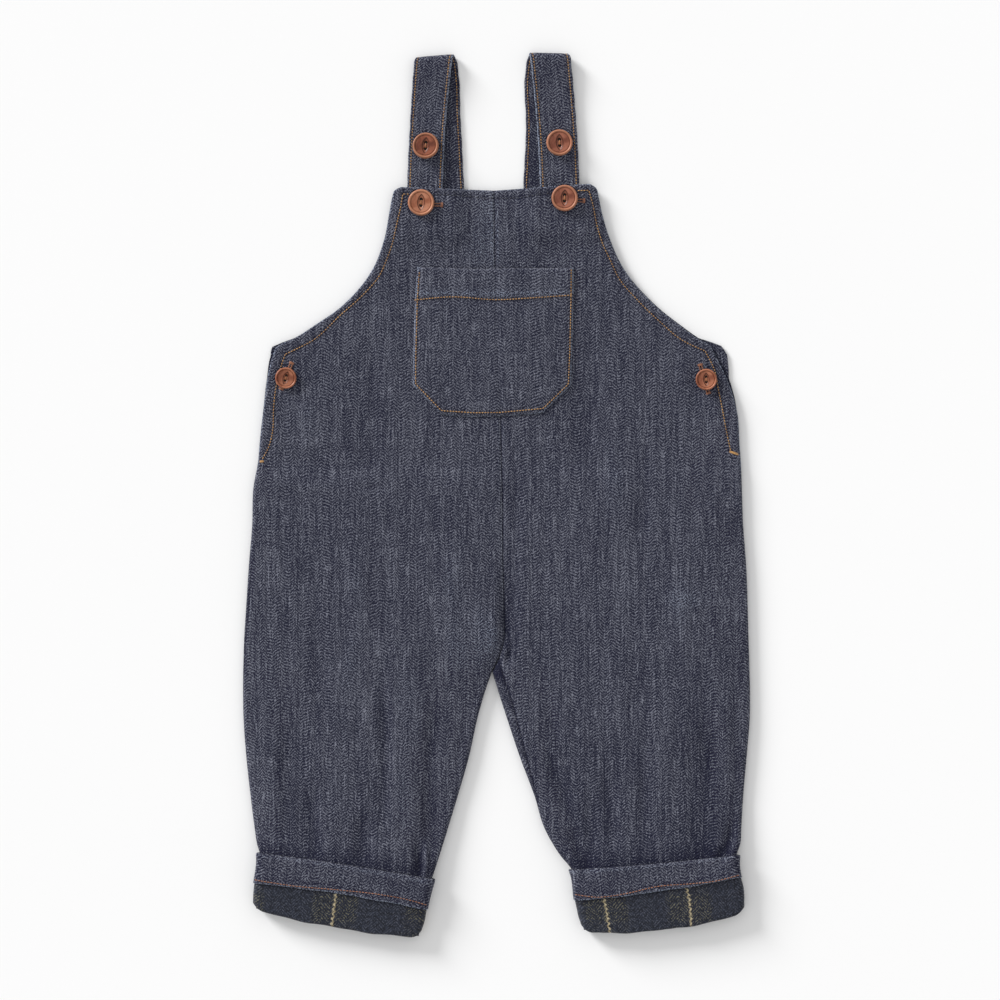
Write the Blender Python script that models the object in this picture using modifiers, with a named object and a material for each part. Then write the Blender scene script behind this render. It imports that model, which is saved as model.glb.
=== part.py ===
"""Toddler's bib overalls in denim with turned-up lined cuffs, laid flat on a table, front up.

Axes: +X towards the wearer's left, +Y from the hems up to the shoulder straps, +Z up from the table.
The origin is on the table, under the middle of the garment. Right and left are always the wearer's.
Every table and size below is in millimetres.
"""

from collections import namedtuple
from math import ceil, cos, pi, radians, sin

import bmesh
import bpy
import numpy as np

MM = 0.001

# Cloth and seams.
WALL = 1.6  # denim shell with its lining
SEAM_GAP = 0.3  # between two pieces at a seam
LAY_GAP = 0.4  # between a piece and the one that it lies on
ROLL_WIDTH = 3.0  # how far a folded edge takes to turn over
ROLL_HEIGHT = 2.7  # half the height of a folded edge
ROLL_FLAT = 0.7  # the folded edge is upright for this far above and below its seam
OPEN_TOP = 4.4  # top of the front where it only lies on the back
CLOSED_TOP = 2 * ROLL_HEIGHT  # top of the front beside a closed seam
FOLD_FADE = 8.0  # folds die out this far from a closed seam

# Mesh density.
ROW_STEP = 14.2
EDGE_COLUMNS = (0.0, 0.5, 2.1, 4.6)  # distances from a panel's edge, round the roll
WRAP_COLUMNS = 6  # more columns where a panel wraps over the folded edge
FRONT_MIDDLE = 6
BACK_MIDDLE = 3

# Sections of the bib and body, from the bib's top edge down to the crotch. Each runs from the right side
# edge over the centre seam to the left side edge. The back columns say how far the back panel's side edge
# stands out past the front's.
Body = namedtuple("Body", "seam_y seam_x right_x right_y left_x left_y right_back left_back")
BODY = [
    Body(210.8, -1.5, -66.0, 213.2, 64.5, 215.4, -1.5, -1.5),
    Body(208.0, -1.5, -70.0, 211.2, 68.6, 212.8, -1.5, -1.5),
    Body(203.5, -1.5, -71.8, 206.8, 70.4, 207.0, -1.2, -1.2),
    Body(196.0, -1.4, -73.6, 198.0, 72.2, 198.2, -0.8, -0.8),
    Body(176.0, -1.1, -77.6, 177.0, 78.4, 177.2, 0.0, 0.0),
    Body(155.0, -0.8, -86.2, 155.4, 88.8, 155.4, 0.0, 0.0),
    Body(140.0, -0.4, -97.0, 140.8, 100.6, 140.6, 0.0, 0.4),
    Body(129.0, 0.0, -109.0, 129.2, 112.4, 128.8, 0.0, 0.8),
    Body(118.5, 0.4, -124.0, 118.9, 125.6, 118.4, 0.0, 1.0),
    Body(109.0, 0.8, -139.0, 109.2, 138.3, 109.0, 0.3, 1.4),
    Body(101.5, 1.1, -151.8, 103.0, 149.4, 103.6, 3.1, 5.8),
    Body(96.0, 1.3, -154.4, 97.0, 152.6, 97.4, 1.6, 6.7),
    Body(80.0, 1.9, -158.2, 81.0, 158.8, 81.4, 0.4, 1.7),
    Body(57.0, 2.7, -161.2, 58.0, 164.6, 58.0, 0.0, 0.0),
    Body(36.0, 3.3, -163.6, 36.0, 166.8, 36.0, 0.0, 0.0),
    Body(24.0, 3.6, -164.6, 24.0, 168.2, 24.0, 0.0, 0.0),
    Body(6.0, 4.0, -167.8, 6.0, 169.4, 6.0, 0.0, 0.0),
    Body(-20.0, 4.3, -168.7, -20.0, 170.3, -20.0, 0.0, 0.0),
    Body(-48.0, 4.6, -171.0, -48.0, 172.4, -48.0, 0.0, 0.0),
    Body(-82.0, 5.3, -173.2, -82.0, 173.6, -82.0, 0.0, 0.0),
    Body(-98.0, 5.2, -174.2, -98.0, 174.0, -98.0, 0.0, 0.0),
    Body(-109.5, 2.3, -174.6, -109.5, 174.4, -109.5, 0.0, 0.0),
    Body(-121.0, -3.0, -174.9, -121.0, 174.7, -121.0, 0.0, 0.0),
]

# Sections of each leg, from the crotch down to where the leg turns up into its cuff. Rise is how high the
# cuff under the leg lifts it, and bow how far a section's middle lies up the leg from its ends.
Leg = namedtuple("Leg", "outer_y outer_x inner_y inner_x rise bow")
LEGS = {
    "right": [
        Leg(-121.0, -174.9, -121.0, -3.0, 0.0, 0.0),
        Leg(-134.0, -175.0, -135.0, -7.9, 0.0, 0.0),
        Leg(-152.0, -174.7, -153.0, -13.0, 0.0, 0.0),
        Leg(-178.0, -172.9, -180.0, -19.0, 0.0, 0.0),
        Leg(-206.0, -169.9, -210.0, -27.6, 0.0, 0.0),
        Leg(-230.0, -166.8, -240.0, -36.8, 1.2, 0.0),
        Leg(-240.0, -165.2, -254.0, -41.2, 2.4, 0.6),
        Leg(-246.0, -163.4, -264.0, -44.6, 2.95, 1.0),
        Leg(-266.0, -164.8, -284.0, -49.8, 2.95, 2.4),
        Leg(-273.0, -165.6, -291.0, -51.2, 2.1, 0.0),
        Leg(-284.4, -165.9, -303.4, -53.6, 2.1, -2.4),
    ],
    "left": [
        Leg(-121.0, 174.7, -121.0, -3.0, 0.0, 0.0),
        Leg(-134.0, 175.0, -133.0, 0.6, 0.0, 0.0),
        Leg(-152.0, 174.9, -151.0, 6.4, 0.0, 0.0),
        Leg(-178.0, 172.9, -179.0, 15.7, 0.0, 0.0),
        Leg(-206.0, 170.4, -207.0, 26.2, 0.0, 0.0),
        Leg(-230.0, 168.9, -234.0, 35.4, 1.2, 0.0),
        Leg(-240.0, 168.2, -248.0, 44.0, 2.4, 0.0),
        Leg(-247.6, 165.6, -257.6, 52.0, 2.95, -0.8),
        Leg(-262.0, 166.2, -277.6, 55.8, 2.95, -1.2),
        Leg(-269.0, 168.2, -285.0, 57.4, 2.1, -2.4),
        Leg(-286.6, 168.9, -299.2, 60.2, 2.1, -4.4),
    ],
}

# How far each seam lies up on the front from the folded edge, at each height: the back panel shows there.
# Slack is what each panel's edge keeps back from the seam besides the usual gap, where the fold twists.
Seam = namedtuple("Seam", "y side inside side_slack inside_slack")
SEAMS = {
    "right": [
        Seam(38.0, 0.0, 0.0, 0.0, 0.0),
        Seam(24.0, 0.0, 0.0, 0.5, 0.0),
        Seam(-10.0, 0.0, 0.0, 0.5, 0.0),
        Seam(-34.0, 0.0, 0.0, 0.7, 0.0),
        Seam(-48.0, 3.8, 0.0, 0.7, 0.0),
        Seam(-82.0, 3.6, 0.0, 0.7, 0.0),
        Seam(-98.0, 3.1, 0.0, 0.7, 0.9),
        Seam(-121.0, 2.3, 0.0, 0.7, 0.9),
        Seam(-134.0, 1.2, 0.0, 0.7, 0.6),
        Seam(-152.0, 0.0, 0.0, 0.6, 0.4),
        Seam(-178.0, 0.0, 0.0, 0.4, 0.0),
        Seam(-206.0, 0.0, 0.0, 0.0, 0.0),
    ],
    "left": [
        Seam(38.0, 0.0, 0.0, 0.0, 0.0),
        Seam(24.0, 0.0, 0.0, 0.5, 0.0),
        Seam(-10.0, 0.0, 0.0, 0.5, 0.0),
        Seam(-34.0, 0.0, 0.0, 0.0, 0.0),
        Seam(-82.0, 0.0, 0.0, 0.0, 0.0),
        Seam(-98.0, 0.0, 0.0, 0.0, 0.9),
        Seam(-109.5, 0.0, 0.0, 0.0, 1.0),
        Seam(-121.0, 0.0, 8.6, 0.0, 0.9),
        Seam(-146.0, 0.0, 8.8, 0.0, 0.2),
        Seam(-178.0, 0.0, 6.4, 0.0, 0.5),
        Seam(-192.0, 0.0, 4.8, 0.0, 0.8),
        Seam(-206.0, 0.0, 2.8, 0.0, 0.8),
        Seam(-218.0, 0.0, 0.0, 0.0, 0.8),
        Seam(-250.0, 0.0, 0.0, 0.0, 0.4),
        Seam(-266.0, 0.0, 0.0, 0.0, 0.0),
    ],
}

# Where the side edges and the crotch turn over, and how full the cloth lies between them.
SIDE_OPENING_END = (24.0, 8.0)  # the open side above closes over this stretch
CROTCH_ROLL = (-92.0, -109.5)
LOFT_Y = (40.0, -60.0, -160.0, -225.0, -250.0)
LOFT = (0.0, 1.2, 2.2, 2.0, 0.8)

# Folds die out over this stretch, above the cuffs.
CUFF_CALM = (-242.0, -232.0)

# Soft folds on the front: ridges are positive and troughs negative, along a line from one end to the other.
Fold = namedtuple("Fold", "x0 y0 x1 y1 width height")
FOLDS = [
    Fold(-65.0, -74.0, -61.0, -252.0, 9.0, 0.8),
    Fold(-77.0, -134.0, -73.0, -226.0, 7.0, -0.8),
    Fold(-44.0, -141.0, -50.0, -246.0, 8.0, -0.8),
    Fold(-148.0, -150.0, -146.0, -250.0, 9.0, -0.6),
    Fold(-108.0, -120.0, -112.0, -240.0, 10.0, 0.5),
    Fold(140.0, -130.0, 143.0, -244.0, 9.0, -0.9),
    Fold(66.0, -200.0, 68.0, -256.0, 7.0, -0.8),
    Fold(107.0, -200.0, 109.0, -254.0, 8.0, -0.6),
    Fold(85.0, -98.0, 81.0, -214.0, 10.0, 0.8),
    Fold(11.0, -50.0, 10.0, -104.0, 6.0, -0.9),
    Fold(34.0, -140.0, 55.0, -205.0, 8.0, -0.6),
    Fold(59.0, 66.0, 60.0, 10.0, 10.0, -0.4),
    Fold(-84.0, 110.0, -96.0, 20.0, 12.0, -0.3),
]

# Shoulder straps: one length each, sewn to the back's top edge, folded over at the shoulder and buttoned
# behind the front bib.
STRAP_WIDTH = 26.0
STRAP_THICK = 2.0
STRAP_EDGE = 0.6
FRONT_LAYER_Z = 3.4  # middle of the front layer, where it lies on the back layer
LOOP_RADIUS = 2.2
LOOP_RISE_LENGTH = 30.0
Strap = namedtuple("Strap", "root_x root_y fold_back_x fold_front_x top_y bib_x end_y")
STRAPS = {
    "right": Strap(-35.4, 213.2, -41.8, -44.6, 304.0, -48.8, 186.0),
    "left": Strap(31.6, 214.6, 34.4, 36.8, 305.2, 43.6, 189.0),
}
BIB_LIFT = 2.4  # how far a strap's end under the bib lifts it
LIFT_MARGIN = 4.0
LIFT_FADE = 9.0

# Chest pocket, with its corners cut off at the bottom.
Pocket = namedtuple("Pocket", "y right_x left_x")
POCKET = [
    Pocket(56.4, -37.6, 31.6),
    Pocket(66.4, -47.6, 41.2),
    Pocket(76.4, -57.4, 51.0),
    Pocket(100.0, -57.2, 51.8),
    Pocket(137.0, -55.8, 52.8),
    Pocket(157.0, -54.4, 53.2),
]
POCKET_WALL = 1.4
POCKET_HEM = 20.0
HEM_STEP = 0.5
POCKET_COLUMNS = 12
POCKET_SAG = 1.6  # the bottom edge's middle hangs this much lower

# Cuffs: profile points as (out from the leg, row of the leg's table). The cuff's top edge lies at row 7,
# the hem band's lower edge at row 8, the end of the leg's lift at row 9 and the leg's end at row 10.
CUFF_CLEAR = 0.5
LINING_OUT = CUFF_CLEAR + WALL
HEM_OUT = LINING_OUT + 0.8
HEM_PROFILE = [
    (CUFF_CLEAR, 7.06),
    (CUFF_CLEAR + 0.7, 7.01),
    (HEM_OUT - 1.0, 7.0),
    (HEM_OUT, 7.06),
    (HEM_OUT, 7.5),
    (HEM_OUT, 8.0),
    (CUFF_CLEAR, 8.0),
    (CUFF_CLEAR, 7.5),
]
LINING_PROFILE = [
    (CUFF_CLEAR, 8.06),
    (LINING_OUT, 8.06),
    (LINING_OUT, 9.0),
    (LINING_OUT, 9.5),
    (LINING_OUT, 10.0),
    (LINING_OUT - 0.3, 10.07),
    (LINING_OUT - 1.3, 10.11),
    (-WALL + 1.2, 10.11),
    (-WALL + 0.2, 10.07),
    (-WALL, 10.03),
    (CUFF_CLEAR, 10.03),
    (CUFF_CLEAR, 9.5),
    (CUFF_CLEAR, 9.0),
]

# Two-hole buttons with a raised rim and an eye-shaped hollow round the holes.
BUTTON_THICK = 3.2
BUTTON_STEPS = 16
HOLE_RADIUS = 0.065  # this and the next are shares of the button's diameter
HOLE_SPREAD = 0.11
EYE = (0.13, 0.33, 0.06)
Button = namedtuple("Button", "x y diameter turn")
BUTTONS = {
    "bib_button_right": Button(-52.0, 202.4, 18.0, -4.0),
    "bib_button_left": Button(47.0, 205.4, 18.0, -3.0),
    "strap_button_right": Button(-48.8, 241.6, 18.0, -6.0),
    "strap_button_left": Button(43.4, 243.8, 18.0, 2.0),
    "side_button_right": Button(-145.4, 81.4, 15.0, -18.0),
    "side_button_left": Button(144.8, 80.4, 15.0, 2.0),
}

DENIM = ("denim", (0.070, 0.074, 0.105), 0.9)
PLAID = ("plaid_lining", (0.035, 0.040, 0.050), 0.95)
HORN = ("button_brown", (0.30, 0.105, 0.045), 0.35)


def ease(value, start, end):
    """0 at start, 1 at end, and a smooth step between them."""
    share = np.clip((value - start) / (end - start), 0.0, 1.0)
    return share * share * (3 - 2 * share)


def curve(knots, values, at):
    """Values on a smooth curve through a table's rows. Knots fall down the table."""
    knots = -np.array(knots, float)
    values = np.array(values, float)
    gap = np.diff(knots)
    rise = np.diff(values) / gap
    slope = np.empty_like(values)
    slope[0], slope[-1] = rise[0], rise[-1]
    slope[1:-1] = (rise[1:] * gap[:-1] + rise[:-1] * gap[1:]) / (gap[:-1] + gap[1:])
    k = np.clip(np.searchsorted(knots, -at, side="right") - 1, 0, len(gap) - 1)
    width = gap[k]
    t = (-at - knots[k]) / width
    return (
        values[k] * (1 + 2 * t) * (1 - t) ** 2
        + slope[k] * width * t * (1 - t) ** 2
        + values[k + 1] * t * t * (3 - 2 * t)
        + slope[k + 1] * width * t * t * (t - 1)
    )


def straight(knots, values, at):
    """Values read straight between a table's rows, with knots that fall down the table."""
    return np.interp(-at, -np.array(knots, float), values)


def stations(knots):
    """Heights of the mesh's rows: every row of the table, and more where rows are far apart."""
    found = [knots[0]]
    for high, low in zip(knots, knots[1:]):
        count = ceil((high - low) / ROW_STEP)
        found += [high + (low - high) * n / count for n in range(1, count + 1)]
    return found


def column(table, name):
    return [getattr(row, name) for row in table]


def bib_lift(x, y):
    """How far the strap ends behind the bib lift it."""
    lift = 0.0
    for strap in STRAPS.values():
        beside = np.abs(x - strap.bib_x) - STRAP_WIDTH / 2 - LIFT_MARGIN
        below = strap.end_y - LIFT_MARGIN - y
        lift = np.maximum(lift, 1 - ease(np.hypot(np.maximum(beside, 0), np.maximum(below, 0)), 0, LIFT_FADE))
    return BIB_LIFT * lift


def folds(x, y):
    """Height that the front's folds add."""
    height = 0.0
    for fold in FOLDS:
        along = np.array([fold.x1 - fold.x0, fold.y1 - fold.y0])
        length = np.hypot(*along)
        along = along / length
        run = (x - fold.x0) * along[0] + (y - fold.y0) * along[1]
        off = (x - fold.x0) * along[1] - (y - fold.y0) * along[0]
        fade = ease(run, -0.1 * length, 0.3 * length) * (1 - ease(run, 0.75 * length, 1.1 * length))
        height = height + fold.height * fade * np.exp(-((off / fold.width) ** 2))
    return height * ease(y, *CUFF_CALM)


class Section:
    """One cut across a half of the garment: the outer skin over the top and under the bottom."""

    def __init__(self, side, place, top, loft, rolls, seams, slacks, rise=0.0, bow=0.0, back=0.0):
        self.side = side
        (self.outer_x, self.outer_y), (self.inner_x, self.inner_y) = place
        self.top = top
        self.loft = loft
        self.rolls = rolls
        self.seams = seams
        self.gaps = [SEAM_GAP / 2 + slack for slack in slacks]
        self.rise = rise
        self.bow = bow
        self.back = back

    def line(self, x):
        """Heights up the garment of the section's points."""
        share = (x - self.outer_x) / (self.inner_x - self.outer_x)
        return self.outer_y + (self.inner_y - self.outer_y) * share + 4 * self.bow * share * (1 - share)

    def skin(self, over):
        """(x, y, z) points from the outer edge to the inner edge, over the top or along the underside."""
        outer_x = self.outer_x if over else self.outer_x + self.back * np.sign(self.outer_x)
        inward = np.sign(self.inner_x - outer_x)
        starts = [(1 - roll) * pi / 2 for roll in self.rolls]
        (reach_a, down_a), (reach_b, down_b) = [rolled(start) for start in starts]
        edge_a = outer_x + inward * reach_a
        edge_b = self.inner_x - inward * reach_b
        x = np.concatenate([edge_a[:-1], np.linspace(edge_a[-1], edge_b[-1], 61), edge_b[-2::-1]])
        y = self.line(x)
        down = np.concatenate([down_a[:-1], np.zeros(61), down_b[-2::-1]])
        if not over:
            return np.stack([x, y, self.rise + down], axis=1)
        share = np.clip((x - edge_a[-1]) / (edge_b[-1] - edge_a[-1]), 0, 1)
        full = self.loft * (1 - (2 * share - 1) ** 4)
        inside = 1.0
        for edge, roll in ((outer_x, self.rolls[0]), (self.inner_x, self.rolls[1])):
            inside = inside * (1 - roll * (1 - ease(np.abs(x - edge), ROLL_WIDTH, ROLL_WIDTH + FOLD_FADE)))
        z = self.rise + self.top - down + full + inside * (folds(x, y) + bib_lift(x, y))
        return np.stack([x, y, z], axis=1)

    def wraps(self):
        """How far the back panel wraps over each edge, or None where it never does."""
        names = ("side", "inside")
        return [seam if any(column(SEAMS[self.side], name)) else None for seam, name in zip(self.seams, names)]

    def front(self):
        """The front panel's part of the skin, seam to seam."""
        return trimmed(self.skin(True), self.seams[0] + self.gaps[0], self.seams[1] + self.gaps[1])

    def back_panel(self):
        """The back panel's part: the underside, and what wraps over a folded edge to the seam."""
        over = self.skin(True)
        first = trimmed(over, 0, length_of(over) - self.seams[0])[::-1] if self.seams[0] > 0 else over[:0]
        last = trimmed(over, length_of(over) - self.seams[1], 0)[::-1] if self.seams[1] > 0 else over[:0]
        under = self.skin(False)
        whole = np.concatenate([first[:-1], under, last[1:]])
        return trimmed(whole, *self.gaps)


def rolled(start):
    """How far in from the edge and how far down each point of a rolled edge lies, for its starting angle."""
    turn = np.linspace(start, pi / 2, 9)
    reach = ROLL_WIDTH * (cos(start) - np.cos(turn))
    down = (ROLL_HEIGHT - ROLL_FLAT) * (1 - np.sin(turn))
    upright = ROLL_FLAT * (1 - start / (pi / 2))
    return np.concatenate([[0.0], reach]), np.concatenate([[down[0] + upright], down])


def length_of(line):
    return float(np.linalg.norm(np.diff(line, axis=0), axis=1).sum())


def walked(line):
    """Distance of each point from the line's start."""
    return np.concatenate([[0.0], np.cumsum(np.linalg.norm(np.diff(line, axis=0), axis=1))])


def sampled(line, at):
    along = walked(line)
    return np.stack([np.interp(at, along, line[:, k]) for k in range(3)], axis=1)


def trimmed(line, start, end):
    """The line without its first and last stretches of those lengths."""
    along = walked(line)
    low, high = start, along[-1] - end
    inner = along[(along > low + 1e-6) & (along < high - 1e-6)]
    return sampled(line, np.concatenate([[low], inner, [high]]))


def edge_columns(wrap):
    """Distances of the columns from an edge that wraps over the fold by that much, or that doesn't wrap."""
    if wrap is None:
        return np.array(EDGE_COLUMNS)
    return np.concatenate([[0.0], np.linspace(EDGE_COLUMNS[1], wrap + EDGE_COLUMNS[-1], WRAP_COLUMNS)])


def spread(line, middle, wraps=(None, None)):
    """The line's columns: close together at its two edges and even between them."""
    total = length_of(line)
    first, last = (edge_columns(wrap) for wrap in wraps)
    between = np.linspace(first[-1], total - last[-1], middle + 2)[1:-1]
    return sampled(line, np.concatenate([first, between, total - last[::-1]]))


def body_section(side, y):
    """The section of one half through the centre seam at height y."""
    knots = column(BODY, "seam_y")
    outer = [curve(knots, column(BODY, f"{side}_{axis}"), y) for axis in "xy"]
    closing = ease(y, *SIDE_OPENING_END)
    rolls = (closing, ease(y, *CROTCH_ROLL))
    inner = [curve(knots, column(BODY, "seam_x"), y) + rolls[1] * centre_gap(side), y]
    return Section(
        side,
        (outer, inner),
        OPEN_TOP + (CLOSED_TOP - OPEN_TOP) * closing,
        straight(LOFT_Y, LOFT, y),
        rolls,
        seams_at(side, y),
        seams_at(side, y, ("side_slack", "inside_slack")),
        back=straight(knots, column(BODY, f"{side}_back"), y),
    )


def centre_gap(side):
    """The half's share of the gap between the halves, where their edges are rolled."""
    return SEAM_GAP / 2 if side == "left" else -SEAM_GAP / 2


def seams_at(side, y, names=("side", "inside")):
    table = SEAMS[side]
    return [float(straight(column(table, "y"), column(table, name), y)) for name in names]


def leg_section(side, y):
    """The section of one leg whose outer end is at height y."""
    table = LEGS[side]
    knots = column(table, "outer_y")
    inner = [curve(knots, column(table, name), y) for name in ("inner_x", "inner_y")]
    inner[0] += centre_gap(side)
    outer = [curve(knots, column(table, "outer_x"), y), y]
    rise = straight(knots, column(table, "rise"), y)
    bow = straight(knots, column(table, "bow"), y)
    loft = straight(LOFT_Y, LOFT, y)
    seams = seams_at(side, y)
    slacks = seams_at(side, y, ("side_slack", "inside_slack"))
    return Section(side, (outer, inner), CLOSED_TOP, loft, (1.0, 1.0), seams, slacks, rise, bow)


def half_sections(side):
    """Every section of one half, from the bib's top edge to the leg's end."""
    body = [body_section(side, y) for y in stations(column(BODY, "seam_y"))]
    leg = [leg_section(side, y) for y in stations(column(LEGS[side], "outer_y"))]
    return body + leg[1:]


def collection_of(name):
    found = bpy.data.collections.new(name)
    bpy.context.scene.collection.children.link(found)
    return found


def material_of(finish):
    name, colour, roughness = finish
    material = bpy.data.materials.get(name)
    if material is None:
        material = bpy.data.materials.new(name)
        material.use_nodes = True
        shader = material.node_tree.nodes["Principled BSDF"]
        shader.inputs["Base Color"].default_value = (*colour, 1.0)
        shader.inputs["Roughness"].default_value = roughness
        material.diffuse_color = (*colour, 1.0)
    return material


def add_object(name, mesh, finish, collection):
    made = bpy.data.objects.new(name, mesh)
    if not mesh.materials:
        mesh.materials.append(material_of(finish))
    collection.objects.link(made)
    return made


def grid_mesh(name, rows, around=False, along=False):
    """A mesh of quads through rows of points. It closes round each row or from the last row to the first."""
    mesh = bmesh.new()
    points = [[mesh.verts.new(point * MM) for point in row] for row in rows]
    row_pairs = list(zip(points, points[1:] + points[:1] * along))
    for above, below in row_pairs:
        right_above = above[1:] + above[:1] * around
        right_below = below[1:] + below[:1] * around
        for a, b, c, d in zip(above, right_above, right_below, below):
            mesh.faces.new((a, b, c, d))
    bmesh.ops.recalc_face_normals(mesh, faces=mesh.faces)
    made = bpy.data.meshes.new(name)
    mesh.to_mesh(made)
    mesh.free()
    made.shade_smooth()
    made.set_sharp_from_angle(angle=radians(40))
    return made


def face_outwards(mesh, up):
    """Turns an open skin so that its faces point up, or down."""
    total = sum(face.normal.z * face.area for face in mesh.polygons)
    if (total > 0) != up:
        mesh.flip_normals()


def add_wall(made, thickness):
    """Thickens an open skin inwards."""
    wall = made.modifiers.new("wall", "SOLIDIFY")
    wall.thickness = thickness * MM
    wall.offset = -1.0


def add_panels(parts):
    """The four panels that a maker cuts: right and left front, right and left back."""
    for side in ("right", "left"):
        sections = half_sections(side)
        fronts = [spread(section.front(), FRONT_MIDDLE) for section in sections]
        backs = [spread(section.back_panel(), BACK_MIDDLE, section.wraps()) for section in sections]
        for name, rows, up in ((f"front_{side}", fronts, True), (f"back_{side}", backs, False)):
            mesh = grid_mesh(name, rows)
            face_outwards(mesh, up)
            add_wall(add_object(name, mesh, DENIM, parts), WALL)


def cuff_ring(side, out, row):
    """Points round the leg, that far out from its skin, at that row of the leg's table."""
    heights = column(LEGS[side], "outer_y")
    whole = min(int(row), len(heights) - 2)
    section = leg_section(side, heights[whole] + (row - whole) * (heights[whole + 1] - heights[whole]))
    half_gap = SEAM_GAP / 2
    over = spread(trimmed(section.skin(True), half_gap, half_gap), FRONT_MIDDLE)
    under = spread(trimmed(section.skin(False), half_gap, half_gap), BACK_MIDDLE, section.wraps())
    ring = np.concatenate([over, under[::-1]])
    ahead = np.roll(ring, -1, axis=0) - np.roll(ring, 1, axis=0)
    outward = np.stack([-ahead[:, 2], np.zeros(len(ring)), ahead[:, 0]], axis=1)
    outward /= np.linalg.norm(outward, axis=1, keepdims=True)
    if side == "left":
        outward = -outward
    return ring + out * outward


def add_cuffs(parts):
    """Each leg's turn-up: the plaid lining that shows below, and the denim hem band above it."""
    for side in ("right", "left"):
        for name, profile, finish in (
            (f"cuff_hem_{side}", HEM_PROFILE, DENIM),
            (f"cuff_lining_{side}", LINING_PROFILE, PLAID),
        ):
            rows = [cuff_ring(side, out, row) for out, row in profile]
            add_object(name, grid_mesh(name, rows, around=True, along=True), finish, parts)


def strap_path(strap):
    """The middle line of a strap, from its root at the back to its end behind the bib."""
    low = STRAP_THICK / 2
    turn_y = strap.top_y - STRAP_THICK / 2 - LOOP_RADIUS
    back = [(strap.root_x + (strap.fold_back_x - strap.root_x) * n / 5,
             strap.root_y + (turn_y - strap.root_y) * n / 5, low) for n in range(5)]
    loop = []
    for n in range(9):
        angle = -pi / 2 + pi * n / 8
        share = n / 8
        loop.append((strap.fold_back_x + (strap.fold_front_x - strap.fold_back_x) * share,
                     turn_y + LOOP_RADIUS * cos(angle), low + LOOP_RADIUS * (1 + sin(angle))))
    high = low + 2 * LOOP_RADIUS
    front = []
    for n in range(1, 15):
        y = turn_y + (strap.end_y - turn_y) * n / 14
        x = strap.fold_front_x + (strap.bib_x - strap.fold_front_x) * n / 14
        fall = float(ease(turn_y - y, 0, LOOP_RISE_LENGTH))
        front.append((x, y, high + (FRONT_LAYER_Z - high) * fall))
    return np.array(back + loop + front)


def add_straps(parts):
    """Straps as flat bands swept along their paths, with rounded edges."""
    half, thick = STRAP_WIDTH / 2, STRAP_THICK / 2
    outline = [(-half, -thick + STRAP_EDGE), (-half + STRAP_EDGE, -thick), (half - STRAP_EDGE, -thick),
               (half, -thick + STRAP_EDGE), (half, thick - STRAP_EDGE), (half - STRAP_EDGE, thick),
               (-half + STRAP_EDGE, thick), (-half, thick - STRAP_EDGE)]
    for side, strap in STRAPS.items():
        path = strap_path(strap)
        ahead = np.gradient(path, axis=0)
        rows = []
        for point, (_, dy, dz) in zip(path, ahead):
            up = np.array([0.0, -dz, dy]) / np.hypot(dy, dz)
            rows.append([point + np.array([across, 0, 0]) + up * off for across, off in outline])
        mesh = grid_mesh(f"strap_{side}", rows, around=True)
        capped = bmesh.new()
        capped.from_mesh(mesh)
        bmesh.ops.holes_fill(capped, edges=capped.edges)
        bmesh.ops.recalc_face_normals(capped, faces=capped.faces)
        capped.to_mesh(mesh)
        capped.free()
        add_object(f"strap_{side}", mesh, DENIM, parts)


def front_top(x, y):
    """Top of the front where it is flat: on the bib and under the buttons."""
    return OPEN_TOP + folds(x, y) + bib_lift(x, y)


def add_pocket(parts):
    """The chest pocket, made from the front's own points, moved out."""
    knots = column(POCKET, "y")[::-1]
    right, left = (column(POCKET, name)[::-1] for name in ("right_x", "left_x"))
    rows = []
    for y in stations(knots):
        x = np.linspace(straight(knots, right, y), straight(knots, left, y), POCKET_COLUMNS + 1)
        low = float(ease(y, knots[-1] + 30, knots[-1]))
        across = np.linspace(-1, 1, POCKET_COLUMNS + 1)
        line = y - POCKET_SAG * low * (1 - across**2)
        hem = HEM_STEP * float(ease(y, knots[0] - POCKET_HEM - 2, knots[0] - POCKET_HEM + 2))
        z = front_top(x, line) + LAY_GAP + POCKET_WALL + hem
        rows.append(np.stack([x, line, z], axis=1))
    mesh = grid_mesh("chest_pocket", rows)
    face_outwards(mesh, True)
    add_wall(add_object("chest_pocket", mesh, DENIM, parts), POCKET_WALL)


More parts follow.
